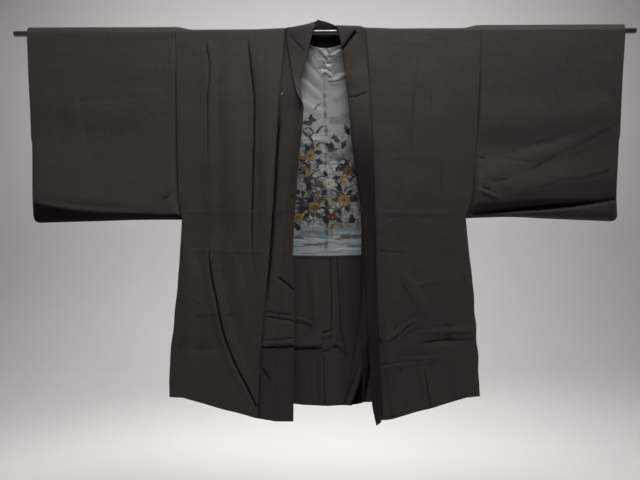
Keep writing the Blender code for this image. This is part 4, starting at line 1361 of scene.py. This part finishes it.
class Painting:
    """Colours at the lining's places, in millimetres; each touch lies over what is there."""

    def __init__(self, x, drop):
        self.x, self.drop = x / MM, drop / MM
        ground = ease((self.drop - 400) / 90)[..., None]
        self.colour = np.array((0.27, 0.275, 0.28)) * (1 - ground) + np.array(WATER) * ground
        self.wash = self.mottle(90, 30, 5)
        self.brush = self.mottle(26, 9, 6, 6)

    def mottle(self, longest, shortest, seed, across=1, down=1):
        """Uneven paint, about 0 to 1."""
        return 0.5 + 0.5 * unevenness(self.x * MM * across, self.drop * MM * down,
                                      longest * MM, shortest * MM, seed)

    def lay(self, paint, amount):
        share = unit(amount)[..., None]
        self.colour = self.colour * (1 - share) + np.asarray(paint) * share

    def stroke(self, knots, width, paint, strength):
        """A brush stroke that tapers along the curve through three knots."""
        x, drop = self.x, self.drop
        curve = bezier(*(np.asarray(knot, float) for knot in knots),
                       np.linspace(0, 1, 25)[:, None])
        low, high = curve.min(0) - 3, curve.max(0) + 3
        near = (x > low[0]) & (x < high[0]) & (drop > low[1]) & (drop < high[1])
        if not near.any():
            return
        away = np.hypot(x[near][:, None] - curve[:, 0], drop[near][:, None] - curve[:, 1])
        wide = width * (1 - 0.6 * away.argmin(1) / 24)
        amount = np.zeros(x.shape)
        amount[near] = strength * unit((wide - away.min(1)) / 0.9 + 0.5)
        self.lay(paint, amount)

    def mist(self):
        for cx, cd, long, high, paint, strength in MIST:
            for shift, lower, part in ((0, 0, 1.0), (0.35, -1.9, 0.62), (-0.4, 1.8, 0.55)):
                u = (self.x - cx - shift * long) / (long * part)
                v = (self.drop - cd - lower * high) / high
                inside = 1 - (np.abs(u) ** 5 + v * v)
                self.lay(paint, strength * unit(inside * 2.2) * (0.45 + 0.55 * self.wash))
                self.lay(CHARCOAL, 0.6 * np.exp(-(inside / 0.16) ** 2)
                         * (0.25 + 0.75 * self.brush))

    def water(self):
        """Dark banks, and broken lines of flowing water among them."""
        x, drop = self.x, self.drop
        for cx, cd, long, high, paint in BANKS:
            ragged = 1 + 0.35 * np.sin(x / 3.1 + cx) * np.sin(x / 7.3 + cd)
            inside = 1 - ((x - cx) / long) ** 2 - ((drop - cd) / (high * ragged)) ** 2
            self.lay(paint, 0.85 * unit(inside * 3) * (0.7 + 0.3 * self.brush))
        for k in range(7):
            line = 462 + 7.2 * k + 2.2 * np.sin(x / (15 + k) + 1.7 * k) + np.sin(x / 6.3 + k)
            broken = ease(3 * (np.sin(x / (19 + 2 * k) + 2.4 * k) + 0.1))
            self.lay((INK, CHARCOAL, IVORY)[k % 3], 0.6 * unit(1.6 - np.abs(drop - line)) * broken)

    def thicket(self):
        """Grey undergrowth, the grasses and the leaves."""
        x, drop = self.x, self.drop
        height = ease((drop - 190) / 110) * ease((462 - drop) / 30)
        mottle = self.mottle(26, 9, 12, 1, 1.4)
        self.lay(INK, 0.7 * height * ease(mottle * 2 - 0.5) * (0.4 + 0.6 * self.wash))
        for grass in grasses():
            self.stroke(*grass)
        for lx, ld, long, wide, turn, paint in leaves():
            along = (x - lx) * math.cos(turn) + (drop - ld) * math.sin(turn)
            aside = (drop - ld) * math.cos(turn) - (x - lx) * math.sin(turn)
            lobes = 1 + 0.22 * np.cos(along * 7 / long + 0.6)
            inside = 1 - np.abs(along / long) ** 1.5 - np.abs(aside / (wide * lobes)) ** 1.5
            self.lay(paint, 0.95 * unit(inside * 4))
            self.lay(INK if paint is CHARCOAL else CHARCOAL,
                     0.7 * unit(0.9 - np.abs(aside)) * unit(inside * 3))

    def flower(self, cx, cd, radius, count, petal, heart):
        """A chrysanthemum: three rings of petals with dark gaps, and its heart."""
        dx, dd = self.x - cx, (self.drop - cd) * 1.12
        far = np.hypot(dx, dd) / radius
        if not (far < 1.3).any():
            return
        turn = np.arctan2(dd, dx)
        for size, phase, tone in ((1.0, 0.0, 0.8), (0.76, 0.5, 0.93), (0.52, 0.0, 1.06)):
            angle = (turn * count / (2 * np.pi) + phase) % 1.0 - 0.5
            shape = unit(1 - (2 * np.abs(angle)) ** 2.6) ** 0.5
            edge = size * (0.78 + 0.22 * shape)
            fade = tone * (0.72 + 0.28 * unit(far / size))
            self.lay(CHARCOAL, 0.9 * unit((edge - far) * radius / 0.8))
            inside = unit((edge - 1.0 / radius - far) * radius / 0.8)
            crack = unit((0.5 - np.abs(angle)) * far * radius * 2 * np.pi / count / 0.9)
            self.lay(np.clip(np.array(petal) * fade[..., None], 0, 0.8), inside * crack)
        self.lay(heart, unit((0.2 - far) * radius / 0.8))
        self.lay(CHARCOAL, 0.7 * np.exp(-((far - 0.2) * radius / 0.6) ** 2))


def paint_lining(x, drop):
    """The lining's colours: satin ground, mist, flowing water, leaves and chrysanthemums."""
    painting = Painting(x, drop)
    painting.mist()
    painting.water()
    painting.thicket()
    for flower in FLOWERS:
        painting.flower(*flower)
    return painting.colour * (0.96 + 0.06 * painting.wash)[..., None]


def lining_painted_shade(x, drop):
    """Painted shade: a dim corner beside the neck on the left, a darker top, and shade in the
    puckers of the seam down the middle; lower down the lining is a little lighter.
    """
    x, drop = x / MM, drop / MM
    corner = ease((92 - drop) / 62) * ease((-x - 8) / 30)
    top = ease((44 - drop) / 18) * 0.4 + 0.24 * ease((140 - drop) / 60)
    beat = 0.5 + 0.5 * np.sin(drop / 4.3 + 2 * np.sin(drop / 23))
    seam = np.exp(-((x - 2 * np.sin(drop / 31)) / 4.3) ** 2) * ease((drop - 110) / 40) * beat
    bright = 1.02 + 0.1 * ease((drop - 110) / 60)
    return bright * (1 - 0.66 * corner) * (1 - top) * (1 - 0.66 * seam)


def make_inner():
    """The lining, and the turned-up hem below it."""
    ends = ARMPIT + (BACK_LENGTH - ARMPIT) * LINING_SHARE
    nominal = np.concatenate([ARC_STEPS, spaced(0, ends, 1.25 * MM)])
    grid, x, drop = inner_grid(nominal, inner_cut(1.2 * MM), LINING_CREASES)
    grid[-1, :, 2] += SEAM
    normal = directions(grid, 1)
    points = grid.reshape(-1, 3)
    number = np.arange(len(points)).reshape(grid.shape[:2])
    quads = np.stack([number[:-1, :-1], number[1:, :-1], number[1:, 1:], number[:-1, 1:]], -1)
    made = make_mesh("lining", points, quads.reshape(-1, 4), SATIN)
    forward = np.sign(normal[len(normal) // 2, normal.shape[1] // 2, 1]) * -1
    # Painted shade in the lining's folds, in its dim corner, along its top and in the seam's
    # puckers.
    shade = (0.45 + 0.55 * shading(hollows(grid, normal * forward, 14))) * lining_painted_shade(x, drop)
    paint = paint_lining(x, drop).reshape(-1, 3)
    layer = made.data.color_attributes.new("paint", "FLOAT_COLOR", "POINT")
    layer.data.foreach_set("color", np.concatenate(
        [paint, np.ones((len(paint), 1))], 1).astype(np.float32).ravel())
    give_shade(made, shade)
    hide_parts("lining_left", "lining_right")
    min(grid_area(grid), 0.184 * 0.505)
    low = np.concatenate([[ends - 2.2 * MM, ends - 1.0 * MM],
                          spaced(ends, BACK_LENGTH, 2.8 * MM)])
    turn, x, drop = inner_grid(low, inner_cut(2.0 * MM), TURN_UP)
    turn[..., 1] -= 0.5 * MM * (1 - rise(low[:, None] - ends, 0, 4))
    turn[-1, :, 2] += LINING
    # The turned-up hem carries painted shade from its fold, the lining's end and its low fold.
    turned = make_cloth("turned_hem", [shell(turn, directions(turn, 1), 0.9 * MM,
                                             tone=turn_painted_shade(x, drop))], CLOTH_SILK,
                        ["turn_up_left", "turn_up_right"])
    min(grid_area(turn), 0.184 * 0.352)
    return grid


# ---- Sewing, loops and trimmings ----
# Stitches: their lengths and pitches along the hems and cuffs and along the lining's end, how
# far they stand off the cloth, and the threads' radii.
STITCH, HEM_PITCH, CUFF_PITCH = 0.9 * MM, 14 * MM, 11 * MM
LINING_STITCH, LINING_PITCH = 1.5 * MM, 4.2 * MM
STAND_OFF = 0.25 * MM
HEM_THREAD, LINING_THREAD, LINT_FIBRE, LOOP_CORD = 0.28 * MM, 0.24 * MM, 0.32 * MM, 0.95 * MM
CORD_LAY = 3.2 * MM
LINT_X, LINT_DROP = -98 * MM, 144 * MM


def tubes(name, lines, radius, material, sides=6, twist=0):
    """Thin closed tubes along lines of points, joined into one mesh; twist ridges their round."""
    points, faces, caps, shift = [], [], [], 0
    for line in lines:
        line = np.asarray(line)
        along = np.gradient(line, axis=0)
        along /= np.linalg.norm(along, axis=1, keepdims=True)
        side = np.cross(along, (0.31, 0.22, 0.92))
        side /= np.linalg.norm(side, axis=1, keepdims=True)
        up = np.cross(along, side)
        angle = np.linspace(0, 2 * np.pi, sides + 1)[:-1]
        walk = walked(line)
        swell = 1 + (0.22 * np.cos(3 * angle[None] - twist * walk[:, None]) if twist else 0)
        ends = np.ones(len(line))
        ends[[0, -1]] = 0.35
        reach = radius * swell * ends[:, None] * np.ones(sides)[None]
        ring = (line[:, None] + side[:, None] * (np.cos(angle)[None] * reach)[..., None]
                + up[:, None] * (np.sin(angle)[None] * reach)[..., None])
        points.append(ring.reshape(-1, 3))
        number = np.arange(ring.shape[0] * sides).reshape(ring.shape[0], sides) + shift
        after = np.roll(number, -1, axis=1)
        faces.append(np.stack([number[:-1], after[:-1], after[1:], number[1:]], -1).reshape(-1, 4))
        for ends_ring in (number[0][::-1], number[-1]):
            for k in range(1, sides - 1):
                caps.append([ends_ring[0], ends_ring[k], ends_ring[k + 1]])
        shift += ring.shape[0] * sides
    made = make_mesh(name, np.concatenate(points), np.concatenate(faces), material, np.array(caps))
    return made


def running_stitches(line, pitch, length, lift, seed):
    """Short threads along a line of points, standing off by lift, a little uneven."""
    dice = np.random.default_rng(seed)
    line = np.asarray(line)
    walk = walked(line)
    made = []
    at = pitch
    while at < walk[-1] - pitch:
        start = at + dice.uniform(-0.12, 0.12) * pitch
        places_at = np.linspace(start, start + length * dice.uniform(0.8, 1.2), 4)
        piece = np.stack([np.interp(places_at, walk, line[:, k]) for k in range(3)], -1)
        piece += np.outer([-0.2, 1, 1, -0.2], lift)
        made.append(piece)
        at += pitch
    return made


def loop_line(root, hand):
    """The cord of a hanging loop, from the collar out, down and back."""
    half, length, stand = 3.2 * MM, 13 * MM, 3.3 * MM
    turn = np.linspace(0, np.pi, 15)
    bend = np.stack([-half * np.cos(turn) * (1 + 0.25 * np.sin(turn)),
                     -stand - 1.6 * MM * np.sin(turn) + 0 * turn,
                     -(length - half) - half * np.sin(turn)], -1)
    run = np.linspace(0, 1, 8)[:-1]
    left = np.stack([0 * run - half, -0.5 * MM - (stand - 0.5 * MM) * np.sin(run * np.pi / 2),
                     -(length - half) * run ** 1.25], -1)
    right = left[::-1] * np.array([-1, 1, 1])
    line = np.concatenate([left, bend, right]) + root
    line[:, 0] += hand * 0.8 * MM * np.sin(np.linspace(0, np.pi, len(line)))
    return line


def make_loops():
    """The two loops for the fastening cords, each in its CAD node's place."""
    for hand in (LEFT, RIGHT):
        node = "loop_" + hand_name(hand)
        low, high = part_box(node)
        root = np.array([(low[0] + high[0]) / 2, high[1] - 0.4 * MM, high[2] - 1.0 * MM])
        made = tubes("hanging_loop_" + hand_name(hand), [loop_line(root, hand)], LOOP_CORD,
                     THREAD_BLACK, sides=12, twist=2 * np.pi / CORD_LAY)
        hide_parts(node)


def make_stitches(fronts, backs, pairs, inner):
    """Dark stitches above the hems and along the cuffs, light ones along the lining's end.
    pairs are the sleeves' front and back grids, and inner is the lining's grid."""
    dark, light = [], []
    out = np.array([0, -1, 0]) * STAND_OFF
    light += running_stitches(inner[-3] + out, LINING_PITCH, LINING_STITCH, out * 0.8, 40)
    for face, grids, row, seed in ((FRONT, fronts, -9, 50), (BACK, backs, -5, 60)):
        for k, grid in enumerate(grids):
            line = grid[row, 2:-2] + np.array([0, face * CLOTH / 2, 0])
            dark += running_stitches(line, HEM_PITCH, STITCH, -face * out, seed + k)
    for k, grids in enumerate(pairs):
        for face, grid in zip((FRONT, BACK), grids):
            rows = [j for j in range(12, grid.shape[0]) if -grid[j, -1, 2] < CUFF_OPENING]
            line = grid[rows, -14] + np.array([0, face * CLOTH / 2, 0])
            dark += running_stitches(line, CUFF_PITCH, STITCH, face * out, 70 + k)
    tubes("hem_stitches", dark, HEM_THREAD, THREAD_BLACK, sides=5)
    tubes("lining_stitches", light, LINING_THREAD, THREAD_GREY, sides=5)


def make_lint(grid):
    """A speck of white lint beside the left collar's seam, and its loose fibres."""
    spot = min(grid.reshape(-1, 3), key=lambda p: np.hypot(p[0] - LINT_X, p[2] + LINT_DROP))
    dice = np.random.default_rng(8)
    lines = []
    for _ in range(7):
        turn = dice.uniform(-0.7, 0.7) + 0.9
        t = np.linspace(-1, 1, 7)[:, None]
        way = np.array([math.cos(turn), 0, math.sin(turn)])
        curl = np.array([-math.sin(turn), 0, math.cos(turn)]) * dice.uniform(-1.2, 1.2) * MM
        long = dice.uniform(1.6, 3.4) * MM
        lines.append(spot + np.array([0, -1.2, 0]) * MM + way * t * long + curl * (t * t)
                     + np.array([0, -0.3, 0]) * MM * dice.random())
    tubes("lint", lines, LINT_FIBRE, THREAD_WHITE, sides=5)


# ---- Building ----
THREAD_BLACK = thread("black_thread", (0.014, 0.012, 0.011, 1))
THREAD_GREY = thread("grey_thread", (0.30, 0.31, 0.32, 1))
THREAD_WHITE = thread("white_lint", (0.62, 0.6, 0.56, 1))

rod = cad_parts["rod"]
rod.data.materials[0] = rod_paint()

bodies = [make_body(hand) for hand in (LEFT, RIGHT)]
sleeves = [make_sleeve(hand) for hand in (LEFT, RIGHT)]
for hand in (LEFT, RIGHT):
    make_gusset(hand)
lining = make_inner()
collar = make_collar()
make_loops()
make_stitches([b[0] for b in bodies], [b[1] for b in bodies], sleeves, lining)
make_lint(collar)


# ---- Stage, light and camera ----
def make_stage():
    """A pale floor under the haori, sweeping up all round into walls well away from it."""
    floor, top, bend, corner = -1.32, 3.2, 0.9, 2.0
    west, east, south, north = -5.6, 5.6, -6.2, 3.1
    ring = []
    for cx, cy, start in ((east - corner, north - corner, 0), (west + corner, north - corner, 1),
                          (west + corner, south + corner, 2), (east - corner, south + corner, 3)):
        for angle in np.linspace(start, start + 1, 13) * np.pi / 2:
            ring.append((cx, cy, math.cos(angle), math.sin(angle)))
    profile = [(0, top)] + [(bend * (1 - math.cos(a)), floor + bend * (1 - math.sin(a)))
                            for a in np.linspace(0, np.pi / 2, 13)]
    points = [(cx + (corner - inset) * ux, cy + (corner - inset) * uy, z)
              for inset, z in profile for cx, cy, ux, uy in ring]
    count = len(ring)
    faces = [(row * count + k, row * count + (k + 1) % count,
              (row + 1) * count + (k + 1) % count, (row + 1) * count + k)
             for row in range(len(profile) - 1) for k in range(count)]
    faces.append(tuple(len(points) - count + k for k in range(count)))
    data = bpy.data.meshes.new("sweep")
    data.from_pydata(points, [], faces)
    data.shade_smooth()
    data.materials.append(pale("pale_stage", (0.78, 0.77, 0.745, 1)))
    sweep = put("sweep", data)


def area_light(name, place, target, size, power, colour=(1, 1, 1), spread=180):
    """A rectangular light that faces its target."""
    lamp = bpy.data.lights.new(name, "AREA")
    lamp.shape, lamp.size, lamp.size_y = "RECTANGLE", *size
    lamp.energy, lamp.color, lamp.spread = power, colour, math.radians(spread)
    holder = put(name, lamp)
    holder.location = place
    way = np.array(target) - np.array(place)
    flat = math.hypot(way[0], way[1])
    holder.rotation_euler = (math.pi / 2 + math.atan2(way[2], flat), 0,
                             math.atan2(way[1], way[0]) - math.pi / 2)


def make_lights():
    """A soft key above, a weak fill, and lights on the backdrop and behind the cloth."""
    area_light("key", (0.24, -0.78, 1.5), (-0.04, 0, -0.3), (1.9, 0.4), 15, (1.0, 0.985, 0.96), 80)
    area_light("fill", (-1.4, -2.2, 0.6), (-0.2, 0, -0.3), (1.4, 1.2), 0.3, (0.97, 0.98, 1.0), 70)
    area_light("backdrop", (0.0, 0.9, 1.9), (0, 3.0, -0.2), (4.0, 0.8), 38, spread=120)
    area_light("behind", (-0.6, 1.4, 1.4), (0, 0, -0.4), (1.2, 0.8), 17, spread=100)
    world = bpy.data.worlds.new("studio")
    bpy.context.scene.world = world
    world.use_nodes = True
    sky = world.node_tree.nodes["Background"]
    sky.inputs["Color"].default_value = (0.93, 0.94, 0.95, 1)
    sky.inputs["Strength"].default_value = 0.07


def make_camera():
    """Level, 1.25 m in front of the cloth, with the photograph's slight turn."""
    lens = bpy.data.cameras.new("camera")
    lens.sensor_width, lens.lens = 36, 30.67
    camera = put("camera", lens)
    camera.location = (-0.014, -1.250, -0.4758)
    camera.rotation_euler = (math.pi / 2, 0.00533, 0)
    bpy.context.scene.camera = camera


make_stage()
make_lights()
make_camera()
bpy.context.scene.view_settings.view_transform = "Standard"
bpy.context.view_layer.update()
